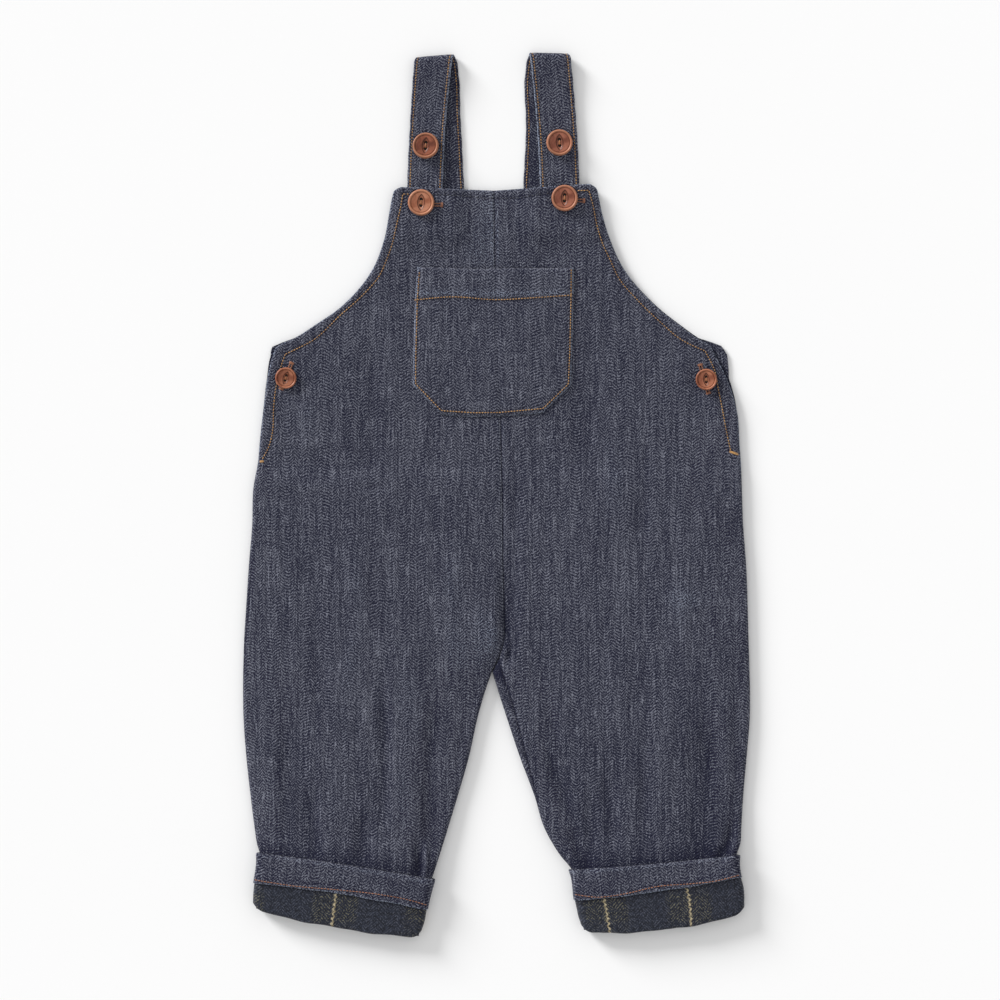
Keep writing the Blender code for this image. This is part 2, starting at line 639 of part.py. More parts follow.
def button_mesh(diameter, cutters):
    """A turned button with its rim, dished face, eye-shaped hollow and two holes."""
    r = diameter / 2
    profile = [(0, 1.9), (0.74 * r, 2.4), (0.82 * r, BUTTON_THICK), (0.93 * r, BUTTON_THICK),
               (r, 2.3), (r, 1.2), (0.86 * r, 0), (0, 0)]
    half = bmesh.new()
    points = [half.verts.new((x * MM, 0, z * MM)) for x, z in profile]
    for a, b in zip(points, points[1:]):
        half.edges.new((a, b))
    outline = bpy.data.meshes.new("button_outline")
    half.to_mesh(outline)
    half.free()
    turned = bpy.data.objects.new("button_turned", outline)
    cutters.objects.link(turned)
    screw = turned.modifiers.new("turn", "SCREW")
    screw.steps = screw.render_steps = BUTTON_STEPS
    screw.use_merge_vertices = True
    screw.merge_threshold = 0.00005
    for number, direction in enumerate((-1, 1)):
        bpy.ops.mesh.primitive_cylinder_add(
            vertices=8,
            radius=HOLE_RADIUS * diameter * MM,
            depth=3 * BUTTON_THICK * MM,
            location=(0, direction * HOLE_SPREAD * diameter * MM, 0),
        )
        add_cut(turned, f"hole_{number}", cutters)
    bpy.ops.mesh.primitive_uv_sphere_add(segments=10, ring_count=6, radius=1.0, location=(0, 0, 2.1 * MM))
    eye = bpy.context.object
    eye.data.transform(np_scale([share * diameter * MM for share in EYE]))
    add_cut(turned, "eye", cutters)
    graph = bpy.context.evaluated_depsgraph_get()
    mesh = bpy.data.meshes.new_from_object(turned.evaluated_get(graph))
    mesh.name = f"button_{diameter:.0f}"
    mesh.set_sharp_from_angle(angle=radians(35))
    for cutter in list(cutters.objects):
        bpy.data.objects.remove(cutter)
    return mesh


def np_scale(factors):
    matrix = np.identity(4)
    for axis, factor in enumerate(factors):
        matrix[axis, axis] = factor
    return [tuple(row) for row in matrix]


def add_cut(target, name, cutters):
    """Makes the newest object a cutter of the target."""
    cutter = bpy.context.object
    for home in list(cutter.users_collection):
        home.objects.unlink(cutter)
    cutters.objects.link(cutter)
    cutter.name = name
    cutter.hide_render = True
    cutter.display_type = "WIRE"
    cut = target.modifiers.new(name, "BOOLEAN")
    cut.operation = "DIFFERENCE"
    cut.object = cutter


def add_buttons(parts, cutters):
    """Six buttons, each lying on the cloth that it fastens."""
    meshes = {}
    for name, button in BUTTONS.items():
        if button.diameter not in meshes:
            meshes[button.diameter] = button_mesh(button.diameter, cutters)
        made = add_object(name, meshes[button.diameter], HORN, parts)
        if name.startswith("strap"):
            cloth = FRONT_LAYER_Z + STRAP_THICK / 2
        else:
            cloth = float(front_top(button.x, button.y))
        made.location = (button.x * MM, button.y * MM, (cloth + SEAM_GAP) * MM)
        made.rotation_euler.z = radians(button.turn)


def main():
    for old in list(bpy.data.objects):
        bpy.data.objects.remove(old)
    parts = collection_of("overalls")
    cutters = collection_of("cutters")
    cutters.hide_render = True
    add_panels(parts)
    add_cuffs(parts)
    add_straps(parts)
    add_pocket(parts)
    add_buttons(parts, cutters)


main()
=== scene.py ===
# %% [markdown]
# # Toddler bib overalls, dressed for the camera
# The packed model gives the garment's plain walls. This lesson lays finer cloth over each of them, sews it,
# buttons it, and dyes it, with painted shade and painted highlight in its colour. Every length in the tables is in
# millimetres, and right and left are the wearer's.

# %% Load the packed garment
from collections import namedtuple
from functools import partial
from math import ceil, cos, pi, radians, sin

import bmesh
import bpy
import numpy as np
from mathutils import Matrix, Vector
from mathutils.bvhtree import BVHTree


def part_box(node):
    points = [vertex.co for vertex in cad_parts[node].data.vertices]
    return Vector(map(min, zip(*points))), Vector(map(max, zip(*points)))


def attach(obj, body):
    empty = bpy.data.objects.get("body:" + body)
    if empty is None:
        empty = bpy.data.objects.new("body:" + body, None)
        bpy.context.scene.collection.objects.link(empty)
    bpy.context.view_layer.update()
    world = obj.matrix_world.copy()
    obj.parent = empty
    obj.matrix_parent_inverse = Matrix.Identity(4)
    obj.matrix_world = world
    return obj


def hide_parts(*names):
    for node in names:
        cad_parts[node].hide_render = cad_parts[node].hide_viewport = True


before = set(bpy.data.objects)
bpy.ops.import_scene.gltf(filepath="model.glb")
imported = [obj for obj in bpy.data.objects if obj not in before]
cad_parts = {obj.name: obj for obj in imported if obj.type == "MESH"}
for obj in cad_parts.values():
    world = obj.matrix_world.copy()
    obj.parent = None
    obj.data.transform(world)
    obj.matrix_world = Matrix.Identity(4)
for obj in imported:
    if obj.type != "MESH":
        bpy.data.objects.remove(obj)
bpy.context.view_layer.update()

MM = 0.001

# %% [markdown]
# ## The cut
# A maker drafts overalls from a few widths at known heights. The same is done here: a row for each height says
# where the side edge and the middle seam lie, and a smooth curve joins the rows. Reading the outline from a
# table keeps every layer on the same lines, from the cloth to its stitches.

# %% Sections of the bib and body, then of each leg
WALL = 1.5
SEAM_GAP = 0.04
ROLL_WIDTH = 3.0
ROLL_HEIGHT = 2.7
ROLL_FLAT = 0.7
OPEN_TOP = 4.4
CLOSED_TOP = 2 * ROLL_HEIGHT
FOLD_FADE = 3.5


def rows_of(kind, rows):
    """A table's rows, with a name for each column."""
    return [kind(*row) for row in rows]


Body = namedtuple("Body", "seam_y seam_x right_x right_y left_x left_y right_back left_back")
BODY = rows_of(Body, [
    (210.8, -1.5, -66, 213.2, 64.5, 215.4, -1.5, -1.5), (208, -1.5, -70, 211.2, 68.6, 212.8, -1.5, -1.5),
    (203.5, -1.5, -71.8, 206.8, 70.4, 207, -1.2, -1.2), (196, -1.4, -73.6, 198, 72.2, 198.2, -0.8, -0.8),
    (176, -1.1, -77.6, 177, 78.4, 177.2, 0, 0), (155, -0.8, -86.2, 155.4, 88.8, 155.4, 0, 0),
    (140, -0.4, -97, 140.8, 100.6, 140.6, 0, 0.4), (129, 0, -109, 129.2, 112.4, 128.8, 0, 0.8),
    (118.5, 0.4, -124, 118.9, 125.6, 118.4, 0, 1), (109, 0.8, -139, 109.2, 138.3, 109, 0.3, 1.4),
    (101.5, 1.1, -151.8, 103, 147.4, 103.6, 3.1, 7.8), (96, 1.3, -154.4, 97, 150.9, 97.4, 1.6, 8.4),
    (80, 1.9, -158.2, 81, 158.8, 81.4, 0.4, 1.7), (57, 2.7, -161.2, 58, 166.2, 58, 0, 0),
    (36, 3.3, -163.6, 36, 167.8, 36, 0, 0), (24, 3.6, -164.6, 24, 168.7, 24, 0, 0),
    (6, 4, -167.8, 6, 169.4, 6, 0, 0), (-20, 4.3, -168.7, -20, 170.3, -20, 0, 0),
    (-48, 4.6, -171, -48, 172.4, -48, 0, 0), (-82, 5.3, -173.2, -82, 173.6, -82, 0, 0),
    (-98, 5.2, -174.2, -98, 174, -98, 0, 0), (-109.5, 2.3, -174.6, -109.5, 174.4, -109.5, 0, 0),
    (-121, -3, -174.9, -121, 174.7, -121, 0, 0),
])

Leg = namedtuple("Leg", "outer_y outer_x inner_y inner_x rise bow")
LEGS = {
    "right": rows_of(Leg, [
        (-121, -174.9, -121, -3, 0, 0), (-134, -175, -135, -7.9, 0, 0), (-152, -174.7, -153, -13, 0, 0),
        (-178, -172.9, -180, -19, 0, 0), (-206, -169.9, -210, -27.6, 0, 0), (-230, -166.8, -240, -36.8, 1.2, 0),
        (-240, -165.2, -254, -41.2, 2.4, 0.6), (-246, -163.4, -264, -44.6, 2.95, 1),
        (-266, -164.8, -284, -49.8, 2.95, 2.4), (-273, -165.6, -291, -51.2, 2.1, 0),
        (-284.4, -165.9, -303.4, -53.6, 2.1, -2.4),
    ]),
    "left": rows_of(Leg, [
        (-121, 174.7, -121, -3, 0, 0), (-134, 175, -133, 0.6, 0, 0), (-152, 174.9, -151, 6.4, 0, 0),
        (-178, 172.9, -179, 15.7, 0, 0), (-206, 170.4, -207, 26.2, 0, 0), (-230, 168.9, -234, 35.4, 1.2, 0),
        (-240, 168.2, -248, 44, 2.4, 0), (-247.6, 165.6, -257.6, 52, 2.95, -0.8),
        (-262, 166.2, -277.6, 55.8, 2.95, -1.2), (-269, 168.2, -285, 57.4, 2.1, -2.4),
        (-286.6, 168.9, -299.2, 60.2, 2.1, -4.4),
    ]),
}

Seam = namedtuple("Seam", "y side inside")
SEAMS = {
    "right": rows_of(Seam, [
        (-34, 0, 0), (-48, 3.8, 0), (-82, 3.6, 0), (-98, 3.1, 0), (-121, 2.3, 0), (-134, 1.2, 0), (-152, 0, 0),
    ]),
    "left": rows_of(Seam, [
        (-109.5, 0, 0), (-121, 0, 8.6), (-146, 0, 8.8), (-178, 0, 6.4), (-192, 0, 4.8), (-206, 0, 2.8),
        (-218, 0, 0),
    ]),
}

SIDE_OPENING_END = (24, 8)
CROTCH_ROLL = (-92, -109.5)
LOFT_Y = (40, -60, -160, -225, -250)
LOFT = (0, 1.2, 2.2, 2, 0.8)
print("rows in the cut:", len(BODY) + sum(len(leg) for leg in LEGS.values()))

# %% [markdown]
# ## Creases
# Cloth that has been worn and laid down keeps soft, uneven creases. Each row below is one: a line from end to
# end, a width, a height (negative for a trough) and a lean that makes one flank steeper. They fade in and out,
# so none looks ruled. A second, weaker set lies on the back.

# %% Crease tables
Crease = namedtuple("Crease", "x0 y0 x1 y1 width height lean")
FRONT_CREASES = rows_of(Crease, [
    # right leg
    (-60, -62, -62, -262, 12, 0.45, 0.3), (-77.5, -110, -76.5, -236, 5, -1.4, 0.1),
    (-42, -138, -49, -258, 6, -1.5, -0.2), (-127, -196, -126, -254, 6.5, -1.6, 0.2),
    (-92, -214, -90, -258, 6, -1.3, 0), (-108, -120, -110, -240, 10, 0.4, 0.2),
    (-145, -140, -141, -250, 8, -0.9, -0.3), (-156, -90, -157, -232, 7, 0.35, 0),
    (-55, -232, -53, -268, 4.5, -1.2, 0), (-49.2, -236, -48.6, -276, 2.4, 1.8, 0.5),
    (-52.4, -240, -52, -276, 2, -2.2, 0), (-96, -20, -100, -150, 8, 0.5, 0), (-122, -60, -124, -170, 7, -0.5, 0.3),
    (-30, -20, -28, -130, 9, 0.6, 0),
    # left leg
    (22, -136, 62, -254, 4.6, -1.2, 0.2), (34, -132, 52, -206, 5, -0.8, 0.2), (64, -205, 65, -262, 6, -1.6, 0),
    (79, -178, 80, -250, 5, -1.1, 0.2), (101, -160, 103, -252, 6, -0.9, -0.3),
    (144, -140, 145, -272, 11, -1.6, 0.2), (166, -226, 152, -258, 3, -1.6, 0.2), (50, -230, 67, -264, 3, -1.6, 0.3),
    (163, -220, 161, -252, 4.5, -1, 0), (85, -84, 83, -176, 9, 0.45, 0), (114, -130, 115, -226, 9, 0.5, 0.2),
    (156, -110, 157, -220, 7, 0.6, 0), (22, -128, 37, -196, 5, 0.7, 0), (128, -40, 127, -120, 9, 0.5, -0.2),
    # body
    (-13, -58, -12, -134, 9, 0.5, 0.2), (0.5, -48, -1, -116, 4.5, 0.9, 0.4), (12, 30, 12, -92, 7, -0.9, 0.3),
    (6.6, -76, 9.4, -117, 2, -3, 0.6), (9, -40, 12, -112, 5.5, -1.1, 0.6), (62, 122, 63, 20, 8, -0.9, 0.3),
    (101, 40, 101, -46, 5, -0.6, 0), (84, 60, 82, -30, 9, 0.5, 0), (138, 98, 137, 58, 5, -0.6, 0),
    (-84, 118, -92, 8, 11, -0.6, 0.2), (-128, 76, -132, 20, 8, 0.5, 0), (-164, 9, -84, 5, 6, 0.3, 0.2),
    (-158, 26, -106, 27, 7, -0.3, 0), (-98, 7, -76, 5, 3, -0.5, 0), (70, -68, 168, -72, 8, 0.4, 0),
    (40, 196, 38, 120, 8, -0.4, 0.2), (-20, 190, -20, 118, 9, 0.35, 0), (16, 200, 18, 116, 7, -0.35, 0),
])
BACK_CREASES = rows_of(Crease, [
    (-120, -60, -112, -236, 9, -0.5, 0.2), (-70, -110, -78, -246, 7, -0.5, 0), (-140, 60, -120, -60, 9, -0.4, 0),
    (-30, -20, -46, -120, 8, -0.4, 0), (66, -120, 84, -240, 8, -0.5, 0.2), (126, -70, 120, -238, 9, -0.5, 0),
    (140, 70, 118, -40, 8, -0.4, 0), (30, 20, 44, -96, 9, -0.4, 0),
])
CUFF_CALM = (-269, -257)
CREASE_DEPTH = 1.3


def ease(value, start, end):
    """0 at start, 1 at end, and a smooth step between them."""
    share = np.clip((value - start) / (end - start), 0.0, 1.0)
    return share * share * (3 - 2 * share)


def bump(distance, width):
    """1 at distance 0, falling smoothly to nothing beyond the width."""
    return np.exp(-((distance / width) ** 2))


def creased(x, y, table):
    """Height that a table of creases adds at each point."""
    height = np.zeros(np.shape(x))
    for crease in table:
        along = np.array([crease.x1 - crease.x0, crease.y1 - crease.y0])
        length = np.hypot(*along)
        along = along / length
        run = (x - crease.x0) * along[0] + (y - crease.y0) * along[1]
        wander = 0.18 * crease.width * np.sin(run / 17.0 + crease.x0)
        off = (x - crease.x0) * along[1] - (y - crease.y0) * along[0] + wander
        width = crease.width * (1 + crease.lean * np.tanh(off / crease.width))
        fade = ease(run, -0.08 * length, 0.35 * length) * (1 - ease(run, 0.72 * length, 1.08 * length))
        uneven = 1 + 0.22 * np.sin(run / 11.0 + crease.y0)
        height = height + CREASE_DEPTH * crease.height * fade * uneven * bump(off, width)
    return height


WAVES = np.random.default_rng(7).uniform((-0.11, -0.05, 0.0), (0.11, 0.05, 2 * pi), (14, 3))


def rumple(x, y):
    """Faint unevenness all over, as in washed cloth."""
    total = np.zeros(np.shape(x))
    for across, up, start in WAVES:
        total = total + np.sin(across * x + up * y + start)
    return 0.055 * total


print("creases:", len(FRONT_CREASES), "in front and", len(BACK_CREASES), "behind")

# %% [markdown]
# ## Sections as cloth
# A flat leg is a flattened tube: the top skin rolls over at each edge and comes back along the table. Each row of
# the mesh is such a section, walked from the side edge to the inner edge, so front and back meet on the roll.

# %% Curves through the tables
def hermite(knots, values, slope, at):
    """Places on the smooth curve that passes its knots with those slopes."""
    k = np.clip(np.searchsorted(knots, at, side="right") - 1, 0, len(knots) - 2)
    width = knots[k + 1] - knots[k]
    t = (at - knots[k]) / width
    if values.ndim > 1:
        width, t = width[:, None], t[:, None]
    return (
        values[k] * (1 + 2 * t) * (1 - t) ** 2
        + slope[k] * width * t * (1 - t) ** 2
        + values[k + 1] * t * t * (3 - 2 * t)
        + slope[k + 1] * width * t * t * (t - 1)
    )


def curve(knots, values, at):
    """Values on a smooth curve through a table's rows. Knots fall down the table."""
    knots = -np.array(knots, float)
    values = np.array(values, float)
    gap = np.diff(knots)
    rise = np.diff(values) / gap
    slope = np.empty_like(values)
    slope[0], slope[-1] = rise[0], rise[-1]
    slope[1:-1] = (rise[1:] * gap[:-1] + rise[:-1] * gap[1:]) / (gap[:-1] + gap[1:])
    return hermite(knots, values, slope, -at)


def straight(knots, values, at):
    """Values read straight between a table's rows, with knots that fall down the table."""
    return np.interp(-at, -np.array(knots, float), values)


def column(table, name):
    return [getattr(row, name) for row in table]


def read(table, by, at, line, name):
    """One column's value at a height, where another column gives each row's height."""
    return line(column(table, by), column(table, name), at)


def stations(knots, step):
    """Heights of the mesh's rows: every row of the table, and more between them."""
    found = [knots[0]]
    for high, low in zip(knots, knots[1:]):
        count = ceil((high - low) / step)
        found += [high + (low - high) * n / count for n in range(1, count + 1)]
    return found


def walked(line):
    """Distance of each point from the line's start."""
    return np.concatenate([[0.0], np.cumsum(np.linalg.norm(np.diff(line, axis=0), axis=1))])


def sampled(line, at):
    along = walked(line)
    return np.stack([np.interp(at, along, line[:, k]) for k in range(line.shape[1])], axis=1)


def trimmed(line, start, end):
    """The line without its first and last stretches of those lengths."""
    along = walked(line)
    low, high = start, along[-1] - end
    inner = along[(along > low + 1e-6) & (along < high - 1e-6)]
    return sampled(line, np.concatenate([[low], inner, [high]]))


print("width of the right leg at its end, mm:", round(abs(LEGS["right"][-1].outer_x - LEGS["right"][-1].inner_x), 1))

# %% Sections of one half
BIB_ENDS = {"right": (-48.8, 186.0), "left": (43.6, 189.0)}
STRAP_WIDTH = 26.0
BIB_LIFT = 2.4
LIFT_FADE = 18.0
TWO_LAYERS = 2 * WALL + 0.35
ROLL_STEPS, SKIN_STEPS = 17, 121


def bib_lift(x, y):
    """How far the strap ends behind the bib lift it."""
    lift = np.zeros(np.shape(x))
    for end_x, end_y in BIB_ENDS.values():
        beside = np.maximum(np.abs(x - end_x) - STRAP_WIDTH / 2 - 3.0, 0)
        below = np.maximum(end_y - 3.0 - y, 0)
        lift = np.maximum(lift, 1 - ease(np.hypot(beside, below), 0, LIFT_FADE))
    return BIB_LIFT * lift


def rolled(start):
    """How far in from the edge and how far down each point of a rolled edge lies, for its starting angle."""
    turn = np.linspace(start, pi / 2, ROLL_STEPS)
    reach = ROLL_WIDTH * (cos(start) - np.cos(turn))
    down = (ROLL_HEIGHT - ROLL_FLAT) * (1 - np.sin(turn))
    upright = ROLL_FLAT * (1 - start / (pi / 2))
    return np.concatenate([[0.0], reach]), np.concatenate([[down[0] + upright], down])


class Section:
    """One cut across a half of the garment: the outer skin over the top and under the bottom."""

    def __init__(self, side, y, leg):
        self.side = side
        shift = SEAM_GAP / 2 if side == "left" else -SEAM_GAP / 2
        self.rise = self.bow = self.back = 0.0
        if leg:
            leg_at = partial(read, LEGS[side], "outer_y", y)
            self.outer = (leg_at(curve, "outer_x"), y)
            self.inner = (leg_at(curve, "inner_x") + shift, leg_at(curve, "inner_y"))
            self.rise, self.bow = leg_at(straight, "rise"), leg_at(straight, "bow")
            self.rolls = (1.0, 1.0)
            self.top = CLOSED_TOP
        else:
            body_at = partial(read, BODY, "seam_y", y)
            self.rolls = (float(ease(y, *SIDE_OPENING_END)), float(ease(y, *CROTCH_ROLL)))
            self.outer = (body_at(curve, f"{side}_x"), body_at(curve, f"{side}_y"))
            self.inner = (body_at(curve, "seam_x") + self.rolls[1] * shift, y)
            self.top = OPEN_TOP + (CLOSED_TOP - OPEN_TOP) * self.rolls[0]
            self.back = body_at(straight, f"{side}_back")
        self.loft = straight(LOFT_Y, LOFT, y)
        self.seams = [float(read(SEAMS[side], "y", y, straight, name)) for name in ("side", "inside")]

    def skin(self, over):
        """(x, y, z) points from the outer edge to the inner edge, over the top or along the underside."""
        outer_x = self.outer[0] if over else self.outer[0] + self.back * np.sign(self.outer[0])
        inward = np.sign(self.inner[0] - outer_x)
        (reach_a, down_a), (reach_b, down_b) = [rolled((1 - roll) * pi / 2) for roll in self.rolls]
        edge_a = outer_x + inward * reach_a
        edge_b = self.inner[0] - inward * reach_b
        x = np.concatenate([edge_a[:-1], np.linspace(edge_a[-1], edge_b[-1], SKIN_STEPS), edge_b[-2::-1]])
        share = (x - self.outer[0]) / (self.inner[0] - self.outer[0])
        y = self.outer[1] + (self.inner[1] - self.outer[1]) * share + 4 * self.bow * share * (1 - share)
        down = np.concatenate([down_a[:-1], np.zeros(SKIN_STEPS), down_b[-2::-1]])
        inside = np.ones(len(x))
        for edge, roll in ((outer_x, self.rolls[0]), (self.inner[0], self.rolls[1])):
            inside = inside * (1 - roll * (1 - ease(np.abs(x - edge), ROLL_WIDTH, ROLL_WIDTH + FOLD_FADE)))
        if not over:
            hollow = creased(x, y, BACK_CREASES) * ease(y, -232.0, -215.0)
            return np.stack([x, y, self.rise + down - inside * np.minimum(hollow, 0)], axis=1)
        middle = np.clip((x - edge_a[-1]) / (edge_b[-1] - edge_a[-1]), 0, 1)
        full = self.loft * (1 - (2 * middle - 1) ** 4)
        relief = (creased(x, y, FRONT_CREASES) + rumple(x, y)) * ease(y, *CUFF_CALM)
        room = self.top + full - TWO_LAYERS
        relief = np.maximum(relief, 0) - room * np.tanh(np.maximum(-relief, 0) / room)
        return np.stack([x, y, self.rise + self.top - down + full + inside * (relief + bib_lift(x, y))], axis=1)

    def front(self):
        """The front panel's part of the skin, seam to seam."""
        return trimmed(self.skin(True), self.seams[0] + SEAM_GAP / 2, self.seams[1] + SEAM_GAP / 2)

    def back_panel(self):
        """The back panel's part: the underside, and what wraps over a folded edge to the seam."""
        over = self.skin(True)
        length = walked(over)[-1]
        first = trimmed(over, 0, length - self.seams[0])[::-1] if self.seams[0] > 0 else over[:0]
        last = trimmed(over, length - self.seams[1], 0)[::-1] if self.seams[1] > 0 else over[:0]
        whole = np.concatenate([first[:-1], self.skin(False), last[1:]])
        return trimmed(whole, SEAM_GAP / 2, SEAM_GAP / 2)


TOP_EDGE = (0.35, 0.8, 1.5)


def half_sections(side, step):
    """Every section of one half, from the bib's top edge to the leg's end."""
    heights = stations(column(BODY, "seam_y"), step)
    heights[1:1] = [heights[0] - deep for deep in TOP_EDGE]
    body = [Section(side, y, False) for y in sorted(set(heights), reverse=True)]
    leg = [Section(side, y, True) for y in stations(column(LEGS[side], "outer_y"), step)]
    return body + leg[1:]


print("sections in a half at 3 mm:", len(half_sections("right", 3.0)))

# %% [markdown]
# ## Seam lines
# Topstitching shows a maker's path round a garment. Each line below is a short run of corners on the cloth, a
# smooth line goes through them, and it is used twice: the cloth sinks along it, and thread is laid in it.

# %% Stitch lines
LINE_STEP = 0.5


def smooth_line(points):
    """A rounded line through the points, sampled every step."""
    points = np.array(points, float)
    knots = walked(points)
    return hermite(knots, points, np.gradient(points, knots, axis=0), np.arange(0, knots[-1], LINE_STEP))


def corner_line(points):
    """Straight stretches between the points, sampled every step."""
    points = np.array(points, float)
    return sampled(points, np.arange(0, walked(points)[-1], LINE_STEP))


ARMHOLE = {
    "right": [
        (-64.7, 207.8), (-65.9, 200.3), (-68.7, 188), (-72.4, 172.6), (-75.8, 163.3), (-80.4, 152.8),
        (-92, 139), (-108, 124.6), (-126.8, 107.4), (-137.4, 101.8), (-145.8, 97.8),
    ],
    "left": [
        (63.8, 210.5), (66.5, 200.9), (69, 188), (73.2, 174.4), (78.8, 162.2), (84.4, 150.4),
        (97, 135.6), (112, 121), (130.1, 106.4), (137.2, 103), (144.1, 100),
    ],
}
PLACKET = {
    "right": [
        (-145.8, 97.8), (-148.2, 91), (-152.1, 75.5), (-153.9, 60), (-154.4, 45.7), (-157.7, 32.7),
        (-161.6, 25.4),
    ],
    "left": [
        (144.1, 100), (150.9, 85.6), (153, 74.3), (156.2, 58.2), (158.6, 45.2), (161.6, 31.2),
    ],
}
BIB_TOP = [(-64.6, 208.2), (-32.6, 207.6), (-3.1, 205.7), (11.8, 205.7), (36.4, 208.8), (63.8, 210.7)]
facing_lines = [smooth_line(line) for line in (*ARMHOLE.values(), *PLACKET.values(), BIB_TOP)]
print("topstitch on the body, mm:", round(sum(walked(line)[-1] for line in facing_lines)))


def near_line(points, line):
    """Distance of each (x, y) point from a line, and how far along the line the nearest place is."""
    flat = np.asarray(points, float).reshape(-1, 2)
    low, high = line.min(0) - 8.0, line.max(0) + 8.0
    inside = np.all((flat > low) & (flat < high), axis=1)
    far = np.full(len(flat), 99.0)
    run = np.zeros(len(flat))
    if inside.any():
        gaps = np.hypot(flat[inside, None, 0] - line[None, :, 0], flat[inside, None, 1] - line[None, :, 1])
        nearest = gaps.argmin(1)
        far[inside] = gaps[np.arange(len(gaps)), nearest]
        run[inside] = walked(line)[nearest]
    return far, run


def sewn(points, lines, depth=0.4, pucker=0.17):
    """How far the cloth sinks along stitch lines, with the small puckers that thread pulls in it."""
    sink = np.zeros(len(points))
    for line in lines:
        far, run = near_line(points, line)
        groove = -depth * bump(far, 1.4)
        waves = pucker * np.sin(run / 0.85 + 1.7 * np.sin(run / 9.0)) * bump(far, 3.2)
        sink = sink + groove + waves * (far < 8)
    return sink

# %% [markdown]
# ## Cloth pieces
# Every panel starts as an open grid of quads. Solidify gives it the thickness of the cloth, so its raw edge shows
# as a real edge. A UV map in metres rides along, and the weave is drawn on it later: that keeps the yarns
# true to each panel, even where it leans or rolls.

# %% Helpers that make cloth
dressed = bpy.data.collections.new("dressed")
bpy.context.scene.collection.children.link(dressed)
pieces = {}


def lay_grid(name, rows, uv, around=False, along=False):
    """An object of quads through rows of points in millimetres, with its UV map in metres."""
    rows, uv = np.asarray(rows), np.asarray(uv)
    high, wide = rows.shape[:2]
    mesh = bpy.data.meshes.new(name)
    r = np.arange(high if along else high - 1)
    c = np.arange(wide if around else wide - 1)
    r, c = [grid.ravel() for grid in np.meshgrid(r, c, indexing="ij")]
    r1, c1 = (r + 1) % high, (c + 1) % wide
    faces = np.stack([r * wide + c, r * wide + c1, r1 * wide + c1, r1 * wide + c], axis=1)
    mesh.from_pydata((rows.reshape(-1, 3) * MM).tolist(), [], faces.tolist())
    layer = mesh.uv_layers.new(name="cloth")
    corners = uv.reshape(-1, 2)[faces].copy() * MM
    layer.data.foreach_set("uv", corners.ravel())
    mesh.shade_smooth()
    made = bpy.data.objects.new(name, mesh)
    dressed.objects.link(made)
    return made


def paint(piece, values):
    """Stores how much paler (above 0) or darker (below 0) the piece is at each point: real wear, painted shade and
    painted highlight.
    """
    layer = piece.data.attributes.new("fade", "FLOAT", "POINT")
    layer.data.foreach_set("value", np.clip(np.asarray(values, float).ravel(), -1, 1))


def panel(name, rows, uv, dye, up, thickness=WALL):
    """A sheet through rows of points, with its wear and painted shade, its outer face up or down, and a wall behind it.
    """
    piece = lay_grid(name, rows, uv)
    paint(piece, dye)
    if (sum(face.normal.z * face.area for face in piece.data.polygons) > 0) != up:
        piece.data.flip_normals()
    wall = piece.modifiers.new("cloth_thickness", "SOLIDIFY")
    wall.thickness = thickness * MM
    wall.offset = -1.0
    return piece, rows


def close_skin(piece):
    """Fills the open ends of a tube and turns all of its faces outward."""
    skin = bmesh.new()
    skin.from_mesh(piece.data)
    bmesh.ops.holes_fill(skin, edges=skin.edges)
    bmesh.ops.recalc_face_normals(skin, faces=skin.faces)
    skin.to_mesh(piece.data)
    skin.free()


def sheet_piece(piece, node, slot, held, rests_on, cut, area=None):
    """Hangs a cloth piece on the root, hides its solid, keeps it among the pieces, and prints the size that it was cut
    to, which is given in millimetres.
    """
    width, length = (round(side * MM, 4) for side in cut)
    area = width * length if area is None else area
    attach(piece, "root")
    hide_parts(node)
    pieces[piece.name] = piece
    print(f"{piece.name}: cut {width:.3f} by {length:.3f} m, {area:.4f} square metres")


def measured(piece, rows):
    """Widest row and longest column of a panel, and its area."""
    cut = max(walked(row)[-1] for row in rows), max(walked(rows[:, c])[-1] for c in range(0, rows.shape[1], 8))
    return cut, sum(face.area for face in piece.data.polygons)


print("wall of a panel, mm:", WALL)

# %% Spacing of the columns across a panel
FINE_EDGE = np.array([0.0, 0.35, 0.8, 1.4, 2.1, 2.9, 3.8, 4.8, 6.0])


def spread(line, middle, wraps=(None, None)):
    """The line's columns, close together at its edges, with each one's distance from both ends."""
    total = walked(line)[-1]
    ends = [FINE_EDGE if wrap is None else np.concatenate([[0.0], np.linspace(0.4, wrap + 6.0, 14)])
            for wrap in wraps]
    between = np.linspace(ends[0][-1], total - ends[1][-1], middle + 2)[1:-1]
    at = np.concatenate([ends[0], between, total - ends[1][::-1]])
    return sampled(line, at), at, total - at


GRAIN_FROM = {"right": -100, "left": 105}


def grain(side, points, at, shift=0):
    """The cloth's own coordinates. Across, they equal x at one place, so the warp runs straight down."""
    x = points[:, 0]
    k = int(np.abs(x - np.clip(GRAIN_FROM[side], x.min() + 6, x.max() - 6)).argmin())
    return np.stack([shift + (x[k] + (at - at[k]) * np.sign(x[-1] - x[0])), points[:, 1]], axis=1)


print("columns at an edge, mm from it:", FINE_EDGE.tolist())

# %% [markdown]
# ## Fronts
# The two fronts are sewn together down the middle. The seam pulls both edges in, so they dip into a narrow valley,
# and the same small turn is made at the side seam where it has rolled into view.

# %% What bends or darkens a front
Button = namedtuple("Button", "node x y diameter turn lean_x lean_y")
BUTTONS = [
    Button("bib_button_right", -52, 202.4, 18, -4, 0, 0),
    Button("bib_button_left", 47, 205.4, 18, -3, -2, -2),
    Button("strap_button_right", -48.8, 241.6, 18, -6, -6, -6),
    Button("strap_button_left", 43.4, 243.8, 18, 2, -3, 3),
    Button("side_button_right", -145.4, 81.4, 14.6, -18, 0, 4),
    Button("side_button_left", 144.8, 80.4, 14.6, 2, 0, -4),
]


